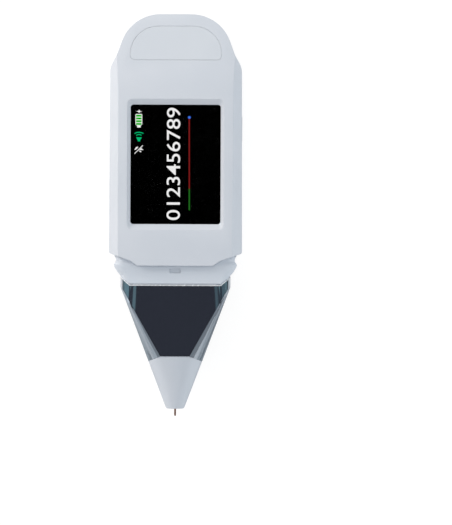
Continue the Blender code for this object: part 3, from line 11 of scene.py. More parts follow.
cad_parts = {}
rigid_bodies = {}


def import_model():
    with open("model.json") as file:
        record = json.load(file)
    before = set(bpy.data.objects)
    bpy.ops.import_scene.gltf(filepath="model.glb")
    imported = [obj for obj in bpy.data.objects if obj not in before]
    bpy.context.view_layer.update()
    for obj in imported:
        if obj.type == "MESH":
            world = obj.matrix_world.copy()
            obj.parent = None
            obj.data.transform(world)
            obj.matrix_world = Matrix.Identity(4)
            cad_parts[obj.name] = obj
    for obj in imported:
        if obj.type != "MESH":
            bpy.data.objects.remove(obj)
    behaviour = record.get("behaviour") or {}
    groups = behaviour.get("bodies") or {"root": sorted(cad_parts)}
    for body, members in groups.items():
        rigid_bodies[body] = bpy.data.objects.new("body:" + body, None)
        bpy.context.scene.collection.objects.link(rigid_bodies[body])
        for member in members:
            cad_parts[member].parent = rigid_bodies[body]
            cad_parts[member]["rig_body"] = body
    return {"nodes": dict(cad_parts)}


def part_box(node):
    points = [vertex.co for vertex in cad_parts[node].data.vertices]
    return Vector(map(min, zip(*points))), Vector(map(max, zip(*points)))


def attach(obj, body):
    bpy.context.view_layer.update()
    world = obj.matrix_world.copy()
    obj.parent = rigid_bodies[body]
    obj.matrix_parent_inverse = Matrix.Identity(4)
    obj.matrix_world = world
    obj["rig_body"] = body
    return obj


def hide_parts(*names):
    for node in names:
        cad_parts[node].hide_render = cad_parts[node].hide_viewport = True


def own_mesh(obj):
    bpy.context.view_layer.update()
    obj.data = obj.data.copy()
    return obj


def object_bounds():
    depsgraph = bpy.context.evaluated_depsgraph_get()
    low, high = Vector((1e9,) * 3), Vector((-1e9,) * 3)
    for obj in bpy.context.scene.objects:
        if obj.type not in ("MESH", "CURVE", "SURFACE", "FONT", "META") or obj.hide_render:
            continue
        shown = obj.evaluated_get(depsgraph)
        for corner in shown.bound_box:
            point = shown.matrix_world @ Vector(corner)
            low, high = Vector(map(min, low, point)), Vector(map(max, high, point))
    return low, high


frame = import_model()
cad_low, cad_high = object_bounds()

MM = 0.001


# Case shells: two halves moulded in a cool white plastic, finely spark-textured outside.
# The front half carries the sloped screen recess, the rear half the screw wells and sound slots.

CASE_WHITE = (0.612, 0.652, 0.712)
CASE_WHITE_DEEP = (0.592, 0.634, 0.696)
CASE_ROUGHNESS = (0.34, 0.44)
DRIFT_SCALE = 45.0
GLOSS_SCALE = 160.0
SPARK_SCALE = 5200.0
SPARK_DEPTH = 0.006 * MM
EDGE_RADIUS = 0.45 * MM
EDGE_SAMPLES = 4
NOISE_LOW = 0.35
NOISE_HIGH = 0.65
MERGE = 0.0005 * MM
SMOOTH_ANGLE = math.radians(18)


def node(tree, kind, inputs=(), **settings):
    """New node with its settings, each input given a value or the output that feeds it."""
    made = tree.nodes.new(kind)
    for setting, choice in settings.items():
        setattr(made, setting, choice)
    for label, value in dict(inputs).items():
        if isinstance(value, bpy.types.NodeSocket):
            tree.links.new(value, made.inputs[label])
        else:
            made.inputs[label].default_value = value
    return made


def shader_of(material):
    """Surface shader of a material."""
    return material.node_tree.nodes["Principled BSDF"]


def finish(name, roughness=0.4, metallic=0.0, **constants):
    """New material with plain values on the shader's own sockets."""
    material = bpy.data.materials.new(name)
    material.use_nodes = True
    inputs = shader_of(material).inputs
    inputs["Roughness"].default_value = roughness
    inputs["Metallic"].default_value = metallic
    for label, value in constants.items():
        inputs[label.replace("_", " ").title().replace("Ior", "IOR")].default_value = value
    return material


def noise(material, scale, detail=2.0, stretch=(1.0, 1.0, 1.0)):
    """Noise over the piece's own space, stretched along its axes."""
    tree = material.node_tree
    place = node(tree, "ShaderNodeTexCoord").outputs["Object"]
    turn = node(tree, "ShaderNodeMapping", {"Vector": place, "Scale": stretch}).outputs["Vector"]
    grain = node(tree, "ShaderNodeTexNoise", {"Vector": turn, "Scale": scale, "Detail": detail})
    return grain.outputs["Fac"]


def ranged(tree, factor, start, end, low=0.0, high=1.0):
    """Spreads a factor that runs from start to end between two values."""
    spread = node(tree, "ShaderNodeMapRange", {
        "Value": factor, "From Min": start, "From Max": end, "To Min": low, "To Max": high,
    })
    return spread.outputs["Result"]


def colour_ramp(tree, factor, stops):
    """Colour by a factor, through stops that are each a place and a tone."""
    ramp = node(tree, "ShaderNodeValToRGB", {"Fac": factor})
    elements = ramp.color_ramp.elements
    elements[0].position, elements[-1].position = stops[0][0], stops[-1][0]
    for place, _ in stops[1:-1]:
        elements.new(place)
    for element, (_, tone) in zip(elements, stops):
        element.color = (*tone, 1)
    return ramp.outputs["Color"]


def toned(material, factor, dark, light, start=NOISE_LOW, end=NOISE_HIGH):
    """Drifts the colour between two tones by a factor."""
    tone = colour_ramp(material.node_tree, factor, ((start, dark), (end, light)))
    material.node_tree.links.new(tone, shader_of(material).inputs["Base Color"])


def glossed(material, factor, low, high):
    """Varies the roughness between two values by a factor."""
    tree = material.node_tree
    gloss = ranged(tree, factor, NOISE_LOW, NOISE_HIGH, low, high)
    tree.links.new(gloss, shader_of(material).inputs["Roughness"])


def bumped(material, factor, depth, edge=0.0):
    """Fine relief of a given depth, over edges eased by a given radius."""
    tree = material.node_tree
    relief = node(tree, "ShaderNodeBump", {"Height": factor, "Distance": depth})
    if edge:
        ease = node(tree, "ShaderNodeBevel", {"Radius": edge}, samples=EDGE_SAMPLES)
        tree.links.new(ease.outputs["Normal"], relief.inputs["Normal"])
    tree.links.new(relief.outputs["Normal"], shader_of(material).inputs["Normal"])


def moulded(name, deep, light, roughness):
    """Satin moulded plastic: a faint drift of tone, uneven gloss and a fine spark texture."""
    material = finish(name, ior=1.46)
    toned(material, noise(material, DRIFT_SCALE), deep, light)
    glossed(material, noise(material, GLOSS_SCALE, detail=3.0), *roughness)
    bumped(material, noise(material, SPARK_SCALE), SPARK_DEPTH, EDGE_RADIUS)
    return material


def put_on(name, material):
    """Gives a CAD node that stays in view a new material."""
    mesh = frame["nodes"][name].data
    mesh.materials.clear()
    mesh.materials.append(material)


def mended(mesh, merge=True, outward=True):
    """Joins the corners of a mesh that fall together and turns its faces outward."""
    work = bmesh.new()
    work.from_mesh(mesh)
    if merge:
        bmesh.ops.remove_doubles(work, verts=work.verts, dist=MERGE)
    if outward:
        bmesh.ops.recalc_face_normals(work, faces=work.faces)
    work.to_mesh(mesh)
    work.free()


def placed(name, mesh, material, body="tester"):
    """Puts a mesh into the scene as a piece that rides on a body."""
    mesh.materials.clear()
    mesh.materials.append(material)
    piece = bpy.data.objects.new(name, mesh)
    bpy.context.scene.collection.objects.link(piece)
    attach(piece, body)
    return piece


def dressed(name, material, angle=SMOOTH_ANGLE):
    """Merged and smoothed copy of a CAD node's mesh that stands for it."""
    source = frame["nodes"][name]
    mesh = source.data.copy()
    mended(mesh, outward=False)
    if "custom_normal" in mesh.attributes:
        mesh.attributes.remove(mesh.attributes["custom_normal"])
    mesh.shade_smooth()
    mesh.set_sharp_from_angle(angle=angle)
    piece = placed(name + "_dressed", mesh, material, source["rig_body"])
    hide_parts(name)
    return piece


case_plastic = moulded("case_plastic", CASE_WHITE_DEEP, CASE_WHITE, CASE_ROUGHNESS)
front_dressed = dressed("front_shell", case_plastic)
rear_dressed = dressed("rear_shell", case_plastic)

# Window: the opening at the bottom of the sloped recess, over the display.
# Its throat is pared back a little, which makes it wider and longer.

WINDOW_HALF_WIDTH = 18.45 * MM
WINDOW_LENGTH = 48.95 * MM
WINDOW_TOP = cad_high.y - 37.35 * MM
WINDOW_DEPTH = 2.5 * MM
WINDOW_SLACK = 0.02 * MM
SIDE_EASE = 0.12 * MM
END_EASE = 0.30 * MM

widening = 1 + SIDE_EASE / WINDOW_HALF_WIDTH
lengthening = 1 + END_EASE / WINDOW_LENGTH
for corner in front_dressed.data.vertices:
    x, y, z = corner.co
    below, depth = WINDOW_TOP - y, cad_high.z - z
    across = abs(x) < WINDOW_HALF_WIDTH + WINDOW_SLACK
    along = -WINDOW_SLACK < below < WINDOW_LENGTH + WINDOW_SLACK
    if across and along and WINDOW_SLACK < depth < WINDOW_DEPTH + WINDOW_SLACK:
        corner.co = (x * widening, WINDOW_TOP - below * lengthening, z)

# Parting lip: a thin tongue inside the joint line of the two shells that keeps light and dust out.
# It follows the outline of the rear shell at its rim, a little inside the wall.

LIP_INSET = 0.7 * MM
LIP_HALF_THICKNESS = 0.25 * MM
LIP_HALF_HEIGHT = 0.3 * MM
RIM_LIFT = 0.12 * MM
RIM_SLACK = 0.02 * MM
CUT_DEPTH = 0.1 * MM


def rim_outline(piece, level):
    """Points of the longest closed line where a piece is cut level."""
    work = bmesh.new()
    work.from_mesh(piece.data)
    sliced = bmesh.ops.bisect_plane(
        work, geom=work.verts[:] + work.edges[:] + work.faces[:],
        plane_co=(0, 0, level), plane_no=(0, 0, 1),
    )
    edges = {item for item in sliced["geom_cut"] if isinstance(item, bmesh.types.BMEdge)}
    longest, best = [], 0.0
    while edges:
        edge = min(edges, key=lambda item: item.index)
        edges.discard(edge)
        start, corner = edge.verts
        line = [start.co.copy(), corner.co.copy()]
        while True:
            onward = [item for item in corner.link_edges if item in edges]
            if not onward:
                break
            edges.discard(onward[0])
            corner = onward[0].other_vert(corner)
            line.append(corner.co.copy())
        length = sum((b - a).length for a, b in zip(line, line[1:]))
        if length > best:
            longest, best = line, length
    work.free()
    return longest


def lip_band(line, low, high):
    """Upright band inside a closed line, from one height to another."""
    points = [Vector((point.x, point.y)) for point in line[:-1]]
    steps = zip(points, points[-1:] + points[:-1])
    kept = [point for point, before in steps if (point - before).length > MERGE]
    area = sum(a.x * b.y - b.x * a.y for a, b in zip(kept, kept[1:] + kept[:1]))
    hand = 1 if area > 0 else -1
    rings = []
    for index, point in enumerate(kept):
        before, after = kept[index - 1], kept[(index + 1) % len(kept)]
        along = ((point - before).normalized() + (after - point).normalized()).normalized()
        inward = Vector((-along.y, along.x)) * hand
        outer = point + inward * (LIP_INSET - LIP_HALF_THICKNESS)
        inner = point + inward * (LIP_INSET + LIP_HALF_THICKNESS)
        rings.append([(*outer, low), (*outer, high), (*inner, high), (*inner, low)])
    faces = []
    for index in range(len(rings)):
        here, there = index * 4, (index + 1) % len(rings) * 4
        for side in range(4):
            onward = (side + 1) % 4
            faces.append((here + side, here + onward, there + onward, there + side))
    mesh = bpy.data.meshes.new("parting_lip")
    mesh.from_pydata([corner for ring in rings for corner in ring], [], faces)
    mended(mesh, merge=False)
    return mesh


rim_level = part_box("rear_shell")[1].z
joint_level = (rim_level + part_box("front_shell")[0].z) / 2
rim = rim_outline(rear_dressed, rim_level - CUT_DEPTH)
lip = lip_band(rim, joint_level - LIP_HALF_HEIGHT, joint_level + LIP_HALF_HEIGHT)
placed("parting_lip", lip, case_plastic)
for corner in rear_dressed.data.vertices:
    if abs(corner.co.z - rim_level) < RIM_SLACK:
        corner.co.z += RIM_LIFT


# Badge plate: a thin flush inlay in the head, moulded apart in the same white and left bare.
# It is glued into its pocket, which leaves a hairline round it.

PLATE_WHITE = (0.618, 0.660, 0.715)
PLATE_WHITE_DEEP = (0.602, 0.645, 0.702)
PLATE_ROUGHNESS = (0.30, 0.38)
PLATE_SPREAD = 0.285 * MM
WALL_SHARE = 0.2


def spread_out(piece, reach):
    """Moves the upright walls of a plate outward, keeping its faces where they are."""
    work = bmesh.new()
    work.from_mesh(piece.data)
    work.normal_update()
    moves = {}
    for corner in work.verts:
        wall, face = Vector(), Vector()
        for side in corner.link_faces:
            if abs(side.normal.z) < WALL_SHARE:
                wall += side.normal
            else:
                face += side.normal
        if wall.length and face.length:
            wall.normalize()
            face.normalize()
            moves[corner] = (wall - face * wall.dot(face)).normalized() * reach
    for corner, move in moves.items():
        corner.co += move
    work.to_mesh(piece.data)
    work.free()


plate_plastic = moulded("plate_plastic", PLATE_WHITE_DEEP, PLATE_WHITE, PLATE_ROUGHNESS)
plate = dressed("head_badge_plate", plate_plastic)
spread_out(plate, PLATE_SPREAD)


# Case screws: four pan heads of blackened steel at the bottom of their wells.
# Each head is turned, which leaves rings about its own axis, and slotted.

SCREW_TONES = ((0.10, 0.10, 0.11), (0.24, 0.24, 0.25))
SCREW_ROUGHNESS = (0.28, 0.5)
RING_SCALE = 900.0
RING_WOBBLE = 1.5
RING_DEPTH = 0.004 * MM


def turned_steel(name, middle):
    """Metal faced on a lathe: fine rings about an upright axis through a middle."""
    material = finish(name, metallic=1.0)
    tree = material.node_tree
    shift = node(tree, "ShaderNodeMapping", {
        "Vector": node(tree, "ShaderNodeTexCoord").outputs["Object"],
        "Location": (-middle.x, -middle.y, 0),
    })
    rings = node(tree, "ShaderNodeTexWave", {
        "Vector": shift.outputs["Vector"], "Scale": RING_SCALE, "Distortion": RING_WOBBLE,
    }, wave_type="RINGS", rings_direction="Z").outputs["Fac"]
    toned(material, rings, *SCREW_TONES, start=0.0, end=1.0)
    glossed(material, noise(material, 900.0), *SCREW_ROUGHNESS)
    bumped(material, rings, RING_DEPTH)
    return material


for number in range(1, 5):
    head = "case_screw_{}".format(number)
    low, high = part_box(head)
    dressed(head, turned_steel(head + "_steel", (low + high) / 2))


# Screen lens: a clear hard-coated plate pressed against the inside of the window.
# The black foam seal behind it keeps dust off the display, and the same foam pads the battery.

lens_glass = finish(
    "lens_glass", roughness=0.02, ior=1.45, transmission_weight=1.0, specular_ior_level=0.12,
)
glossed(lens_glass, noise(lens_glass, 300.0), 0.015, 0.03)
dressed("screen_lens", lens_glass)

foam = finish("seal_foam")
toned(foam, noise(foam, 4000.0, detail=4.0), (0.004, 0.004, 0.004), (0.022, 0.022, 0.022))
glossed(foam, noise(foam, 900.0), 0.82, 0.96)
bumped(foam, noise(foam, 5000.0, detail=3.0), 0.05 * MM)
for padding in ("lens_seal", "battery_pad"):
    put_on(padding, foam)


# Display: a black panel in a low rim, with its lit marks drawn on the glass.
# The marks are a row of plain numerals, a two-colour scale with a dot, and three status signs.

PANEL_DEPTH = 0.3 * MM
MARK_GAP = 0.01 * MM
MARK_THICKNESS = 0.03 * MM
MARK_STEPS = 24
DOT_SCALE = 2500.0
DOT_SHADE = 0.9
VIEW_STEP = 0.4132 * MM
HEAD_TOP_LINE = 14.9
AXIS_COLUMN = 176.39
AXIS_DRIFT = 0.0042

display_black = finish("display_panel", specular_ior_level=0.02)
toned(
    display_black, noise(display_black, 700.0),
    (0.0005, 0.0005, 0.0006), (0.0012, 0.0012, 0.0014),
)
glossed(display_black, noise(display_black, 400.0), 0.22, 0.30)
dressed("display_module", display_black)
MARK_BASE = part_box("display_module")[1].z - PANEL_DEPTH + MARK_GAP


def spot(column, line):
    """Point on the display for a column and a line counted over the front view."""
    axis = AXIS_COLUMN - AXIS_DRIFT * (line - HEAD_TOP_LINE)
    return ((column - axis) * VIEW_STEP, cad_high.y - (line - HEAD_TOP_LINE) * VIEW_STEP)


def outline(*places):
    """Points on the display for several columns and lines."""
    return [spot(column, line) for column, line in places]


def box_of(left, top, right, bottom):
    """Corners of an upright box between columns and lines."""
    return outline((left, bottom), (right, bottom), (right, top), (left, top))


def disc(column, line, radius):
    """Round outline about a column and line, its radius counted in columns."""
    x, y = spot(column, line)
    size = radius * VIEW_STEP
    turns = [2 * math.pi * step / MARK_STEPS for step in range(MARK_STEPS)]
    return [(x + size * math.cos(turn), y + size * math.sin(turn)) for turn in turns]


def arch(column, line, radius, width, spread):
    """Band of a circle about a column and line, open by a spread to each side of upright."""
    x, y = spot(column, line)
    turns = [math.pi / 2 + spread * (2 * step / MARK_STEPS - 1) for step in range(MARK_STEPS + 1)]
    bands = []
    for reach, order in ((radius - width / 2, turns), (radius + width / 2, reversed(turns))):
        size = reach * VIEW_STEP
        bands += [(x + size * math.cos(turn), y + size * math.sin(turn)) for turn in order]
    return bands


def lit(name, colour, strength=1.0):
    """Lit colour with the fine grid of the display's own dots in it."""
    material = finish(
        name, roughness=0.3, base_color=(0, 0, 0, 1), specular_ior_level=0.0,
        emission_strength=strength,
    )
    shaded = [share * DOT_SHADE for share in colour]
    tree = material.node_tree
    dots = colour_ramp(tree, noise(material, DOT_SCALE), ((0.3, shaded), (0.6, colour)))
    tree.links.new(dots, shader_of(material).inputs["Emission Color"])
    return material


def settled(maker):
    """Plain mesh of what a curve, a text or a node tree makes. The maker itself goes."""
    bpy.context.scene.collection.objects.link(maker)
    bpy.context.view_layer.update()
    graph = bpy.context.evaluated_depsgraph_get()
    mesh = bpy.data.meshes.new_from_object(maker.evaluated_get(graph))
    bpy.data.objects.remove(maker, do_unlink=True)
    return mesh


def flattened(name, data, matrix, material):
    """Turns a drawn curve or text into a closed mesh in its place."""
    mesh = settled(bpy.data.objects.new(name + "_drawn", data))
    mesh.transform(matrix)
    mended(mesh)
    placed(name, mesh, material)


def film(name, outlines, material):
    """Thin flat mark drawn by closed outlines."""
    curve = bpy.data.curves.new(name, "CURVE")
    curve.dimensions = "2D"
    curve.fill_mode = "BOTH"
    curve.extrude = MARK_THICKNESS / 2
    for points in outlines:
        spline = curve.splines.new("POLY")
        spline.points.add(len(points) - 1)
        for target, (x, y) in zip(spline.points, points):
            target.co = (x, y, 0, 1)
        spline.use_cyclic_u = True
    flattened(name, curve, Matrix.Translation((0, 0, MARK_BASE + MARK_THICKNESS / 2)), material)


lit_white = lit("lit_white", (1.0, 1.0, 1.0), strength=1.15)
lit_red = lit("lit_red", (0.235, 0.013, 0.013))
lit_green = lit("lit_green", (0.016, 0.17, 0.016))
lit_blue = lit("lit_blue", (0.05, 0.21, 1.0))
lit_charge = lit("lit_charge", (0.0, 0.60, 0.0))
lit_sound = lit("lit_sound", (0.0, 0.66, 0.22))

# Numerals: one row from 0 to 9 in the plain built-in face, standing along the screen.
# They are stretched to fill the box between its foot and its head.

NUMERALS_FOOT = (180.1, 220.3)
NUMERALS_HEAD = (166.9, 108.0)
NUMERAL_WEIGHT = 0.004
NUMERAL_STEPS = 4

numerals = bpy.data.curves.new("numerals", "FONT")
numerals.body = "0123456789"
numerals.extrude = MARK_THICKNESS / 2
numerals.offset = NUMERAL_WEIGHT
numerals.resolution_u = NUMERAL_STEPS
gauge = bpy.data.objects.new("gauge", numerals)
bpy.context.scene.collection.objects.link(gauge)
bpy.context.view_layer.update()
text_width, text_height = gauge.dimensions.x, gauge.dimensions.y
text_start = Vector(gauge.bound_box[0])
bpy.data.objects.remove(gauge, do_unlink=True)
right, bottom = spot(*NUMERALS_FOOT)
left, top = spot(*NUMERALS_HEAD)
fit = Matrix.Diagonal(((top - bottom) / text_width, (right - left) / text_height, 1, 1))
to_corner = Matrix.Translation((-text_start.x, -text_start.y, 0))
stand = Matrix.Translation((right, bottom, MARK_BASE + MARK_THICKNESS / 2))
upright = Matrix.Rotation(math.pi / 2, 4, "Z")
flattened("screen_numerals", numerals, stand @ upright @ fit @ to_corner, lit_white)

# Scale and status signs: a red and green scale with a blue dot, and three small signs.
# They show charge, sound and mute, and all are drawn flat, by columns and lines of the front view.

film("screen_scale_upper", [box_of(188.6, 118.9, 190.05, 189.0)], lit_red)
film("screen_scale_lower", [box_of(188.6, 189.0, 190.05, 210.5)], lit_green)
film("screen_scale_dot", [disc(189.4, 117.7, 1.45)], lit_blue)
film("screen_charge_case", [outline(
    (136.2, 114.4), (135.5, 115.1), (135.5, 124.9), (137.2, 126.3), (137.2, 128.0),
    (140.7, 128.0), (140.7, 126.3), (142.3, 124.9), (142.3, 115.1), (141.6, 114.4),
)], lit_white)
film("screen_charge_sign", [outline(
    (135.9, 111.6), (138.5, 111.4), (139.2, 109.8), (139.9, 111.4),
    (142.4, 112.1), (139.9, 112.4), (139.2, 113.6), (138.5, 112.4),
)], lit_white)
film("screen_sound_waves", [
    arch(139.0, 140.6, 7.9, 0.9, math.radians(34)),
    arch(139.0, 138.4, 3.5, 0.8, math.radians(45)),
], lit_sound)
film("screen_sound_source", [outline(
    (136.3, 137.7), (141.7, 137.7), (141.4, 138.8), (140.5, 139.9),
    (140.1, 141.8), (137.9, 141.8), (137.5, 139.9), (136.6, 138.8),
)], lit_sound)
film("screen_mute_sign", [
    outline((134.3, 153.9), (142.7, 145.5), (143.2, 146.0), (134.8, 154.4)),
    outline(
        (134.1, 150.2), (135.3, 149.1), (136.0, 147.6),
        (137.4, 147.0), (138.4, 147.7), (135.9, 150.2),
    ),
    outline((141.4, 148.1), (142.3, 149.4), (143.7, 150.4), (139.1, 150.4)),
    outline((138.4, 151.1), (140.4, 151.1), (141.6, 152.4), (140.6, 152.6)),
], lit_white)

# Charge bars: four equal green bars drawn over the white charge sign.
# They repeat at one pitch, so a node tree lays them out.

BAR_COUNT = 4
BAR_SIZE = (5.5 * VIEW_STEP, 1.95 * VIEW_STEP, MARK_THICKNESS)
BAR_FIRST = (138.9, 116.15)
BAR_LAST = (138.9, 124.4)
BAR_LEVEL = MARK_BASE + 1.5 * MARK_THICKNESS


def new_tree(name, *inputs):
    """Node tree with named inputs: the tree, the inputs' sockets and their identifiers."""
    tree = bpy.data.node_groups.new(name, "GeometryNodeTree")
    identifiers = {}
    for label, kind in inputs:
        socket = tree.interface.new_socket(label, in_out="INPUT", socket_type="NodeSocket" + kind)
        identifiers[label] = socket.identifier
    tree.interface.new_socket("Geometry", in_out="OUTPUT", socket_type="NodeSocketGeometry")
    return tree, node(tree, "NodeGroupInput").outputs, identifiers


def end_tree(tree, geometry, material):
    """Ends a node tree: what it made turned real, painted and given out."""
    real = node(tree, "GeometryNodeRealizeInstances", {"Geometry": geometry})
    paint = node(tree, "GeometryNodeSetMaterial", {
        "Geometry": real.outputs["Geometry"], "Material": material,
    })
    node(tree, "NodeGroupOutput", {"Geometry": paint.outputs["Geometry"]})


def row_tree(name, material):
    """Node tree that repeats a block at a pitch, from a start."""
    tree, given, identifiers = new_tree(
        name, ("Count", "Int"), ("Pitch", "Vector"), ("Block Size", "Vector"), ("Start", "Vector"),
    )
    line = node(tree, "GeometryNodeMeshLine", {
        "Count": given["Count"], "Offset": given["Pitch"], "Start Location": given["Start"],
    })
    block = node(tree, "GeometryNodeMeshCube", {"Size": given["Block Size"]})
    repeat = node(tree, "GeometryNodeInstanceOnPoints", {
        "Points": line.outputs["Mesh"], "Instance": block.outputs["Mesh"],
    })
    end_tree(tree, repeat.outputs["Instances"], material)
    return tree, identifiers


def grown(name, tree, identifiers, values, material, slot):
    """Plain mesh of what a node tree makes from named values."""
    seed = bpy.data.objects.new(name + "_seed", bpy.data.meshes.new(name + "_seed"))
    step = seed.modifiers.new("Grow", "NODES")
    step.node_group = tree
    for label, value in values.items():
        step[identifiers[label]] = value
    placed(name, settled(seed), material)


first_x, first_y = spot(*BAR_FIRST)
last_y = spot(*BAR_LAST)[1]
grown("screen_charge_bars", *row_tree("charge_bar_row", lit_charge), {
    "Count": BAR_COUNT,
    "Pitch": (0.0, (last_y - first_y) / (BAR_COUNT - 1), 0.0),
    "Block Size": BAR_SIZE,
    "Start": (first_x, first_y, BAR_LEVEL),
}, lit_charge, "display")


# Boards, chips and flat cables inside: glass-fibre boards with copper tracks under the mask.
# The flat cables are amber film, the chips black moulded resin.

TRACK_SCALE = 260.0
TRACK_WIDTH = 0.03
TRACK_DEPTH = 0.01 * MM
MASK_SHADE = 0.85


def printed_board(name, mask, track):
    """Solder mask over a net of copper tracks."""
    material = finish(name)
    tree = material.node_tree
    tracks = node(tree, "ShaderNodeTexBrick", {
        "Vector": node(tree, "ShaderNodeTexCoord").outputs["Object"],
        "Scale": TRACK_SCALE,
        "Mortar Size": TRACK_WIDTH,
        "Mortar": (*track, 1),
        "Color1": (*mask, 1),
        "Color2": (*[share * MASK_SHADE for share in mask], 1),
    })
    tree.links.new(tracks.outputs["Color"], shader_of(material).inputs["Base Color"])
    glossed(material, noise(material, 500.0), 0.28, 0.42)
    bumped(material, tracks.outputs["Fac"], TRACK_DEPTH)
    return material


main_mask = printed_board("main_board_mask", (0.012, 0.11, 0.045), (0.05, 0.22, 0.09))
probe_mask = printed_board("probe_board_mask", (0.012, 0.05, 0.13), (0.04, 0.12, 0.24))
resin = finish("chip_resin")
toned(resin, noise(resin, 3000.0), (0.008, 0.008, 0.009), (0.02, 0.02, 0.021))
glossed(resin, noise(resin, 900.0), 0.42, 0.6)
bumped(resin, noise(resin, 6000.0), 0.008 * MM)
flex_film = finish("flex_film", coat_weight=0.4)
toned(
    flex_film, noise(flex_film, 400.0, stretch=(4.0, 0.1, 1.0)),
    (0.22, 0.085, 0.012), (0.42, 0.20, 0.04),
)
glossed(flex_film, noise(flex_film, 200.0), 0.25, 0.4)
for inside, cover in (
    ("main_board", main_mask),
    ("probe_board", probe_mask),
    ("processor", resin),
    ("probe_amplifier", resin),
    ("display_flex", flex_film),
    ("probe_ribbon", flex_film),
    ("switch_plunger", resin),
):
    put_on(inside, cover)


# Battery and sounder: a foil pouch cell on its foam pad, and a small paper-cone speaker.
# A woven gauze over the sounder keeps dust out behind the slots of the rear shell.

GAUZE_PITCH = 0.7 * MM
GAUZE_WIRE = 0.06 * MM
GAUZE_INSET = 0.8 * MM
GAUZE_GAP = 0.15 * MM
WIRE_SIDES = 4

foil = finish("battery_foil", metallic=1.0)
toned(foil, noise(foil, 90.0, detail=3.0), (0.34, 0.35, 0.37), (0.50, 0.51, 0.53))
glossed(foil, noise(foil, 250.0, detail=4.0), 0.26, 0.45)
bumped(foil, noise(foil, 500.0, detail=4.0), 0.05 * MM)
put_on("battery", foil)

cone_paper = finish("cone_paper")
toned(
    cone_paper, noise(cone_paper, 2500.0, detail=4.0),
    (0.008, 0.008, 0.009), (0.030, 0.030, 0.032),
)
glossed(cone_paper, noise(cone_paper, 600.0), 0.5, 0.75)
bumped(cone_paper, noise(cone_paper, 3000.0, detail=3.0), 0.03 * MM)
dressed("speaker", cone_paper)

gauze_wire = finish("gauze_wire", metallic=1.0)
toned(gauze_wire, noise(gauze_wire, 2000.0), (0.10, 0.10, 0.11), (0.22, 0.22, 0.23))
glossed(gauze_wire, noise(gauze_wire, 900.0), 0.35, 0.5)


def gauze_tree(name, material):
    """Node tree of a round woven net: a grid kept inside a radius, its edges made wires."""
    tree, given, identifiers = new_tree(
        name, ("Radius", "Float"), ("Lines", "Int"), ("Wire Radius", "Float"), ("Middle", "Vector"),
    )
    width = node(tree, "ShaderNodeMath", {0: given["Radius"], 1: 2.0}, operation="MULTIPLY")
    grid = node(tree, "GeometryNodeMeshGrid", {
        "Size X": width.outputs["Value"],
        "Size Y": width.outputs["Value"],
        "Vertices X": given["Lines"],
        "Vertices Y": given["Lines"],
    })
    position = node(tree, "GeometryNodeInputPosition").outputs["Position"]
    reach = node(tree, "ShaderNodeVectorMath", {0: position}, operation="LENGTH").outputs["Value"]
    outside = node(
        tree, "FunctionNodeCompare", {"A": reach, "B": given["Radius"]}, operation="GREATER_THAN",
    )
    trim = node(tree, "GeometryNodeDeleteGeometry", {
        "Geometry": grid.outputs["Mesh"], "Selection": outside.outputs["Result"],
    })
    wires = node(tree, "GeometryNodeMeshToCurve", {"Mesh": trim.outputs["Geometry"]})
    section = node(tree, "GeometryNodeCurvePrimitiveCircle", {
        "Resolution": WIRE_SIDES, "Radius": given["Wire Radius"],
    })
    tube = node(tree, "GeometryNodeCurveToMesh", {
        "Curve": wires.outputs["Curve"],
        "Profile Curve": section.outputs["Curve"],
        "Fill Caps": True,
    })
    move = node(tree, "GeometryNodeTransform", {
        "Geometry": tube.outputs["Mesh"], "Translation": given["Middle"],
    })
    end_tree(tree, move.outputs["Geometry"], material)
    return tree, identifiers


low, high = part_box("speaker")
gauze_radius = (high.x - low.x) / 2 - GAUZE_INSET
grown("sound_gauze", *gauze_tree("sound_gauze", gauze_wire), {
    "Radius": gauze_radius,
    "Lines": int(2 * gauze_radius / GAUZE_PITCH) + 1,
    "Wire Radius": GAUZE_WIRE,
    "Middle": ((low.x + high.x) / 2, (low.y + high.y) / 2, low.z - GAUZE_GAP),
}, gauze_wire, "speaker_black")


# Charging inlet: a drawn steel shell round a black tongue with a row of gilded contacts.
# It is soldered to the main board and looks out of the end of the head.

CONTACT_COUNT = 8
CONTACT_PITCH = 0.62 * MM
CONTACT_SIZE = (0.26 * MM, 3.2 * MM, 0.06 * MM)
CONTACT_SETBACK = 3.6 * MM
TONGUE_HALF_HEIGHT = 0.35 * MM

inlet_steel = finish("inlet_steel", metallic=1.0)
toned(
    inlet_steel, noise(inlet_steel, 500.0, stretch=(1.0, 12.0, 1.0)),
    (0.50, 0.51, 0.53), (0.70, 0.71, 0.73),
)
glossed(inlet_steel, noise(inlet_steel, 700.0, stretch=(1.0, 8.0, 1.0)), 0.22, 0.36)
dressed("charging_inlet", inlet_steel)

gilding = finish("contact_gilding", metallic=1.0)
toned(gilding, noise(gilding, 1500.0), (0.72, 0.46, 0.14), (0.85, 0.60, 0.24))
glossed(gilding, noise(gilding, 900.0), 0.2, 0.32)
low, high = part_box("charging_inlet")
contact_row = row_tree("inlet_contact_row", gilding)
for side, label in ((1, "upper"), (-1, "lower")):
    height = (low.z + high.z) / 2 + side * (TONGUE_HALF_HEIGHT + CONTACT_SIZE[2] / 2)
    grown("inlet_contacts_" + label, *contact_row, {
        "Count": CONTACT_COUNT,
        "Pitch": (CONTACT_PITCH, 0.0, 0.0),
        "Block Size": CONTACT_SIZE,
        "Start": (-CONTACT_PITCH * (CONTACT_COUNT - 1) / 2, high.y - CONTACT_SETBACK, height),
    }, gilding, "probe_brass")


# Power key and its switch: a sliding cap of white plastic and a small tin-plated switch.
# The cap is moulded apart, a shade darker than the case, and the switch stands on the main board.

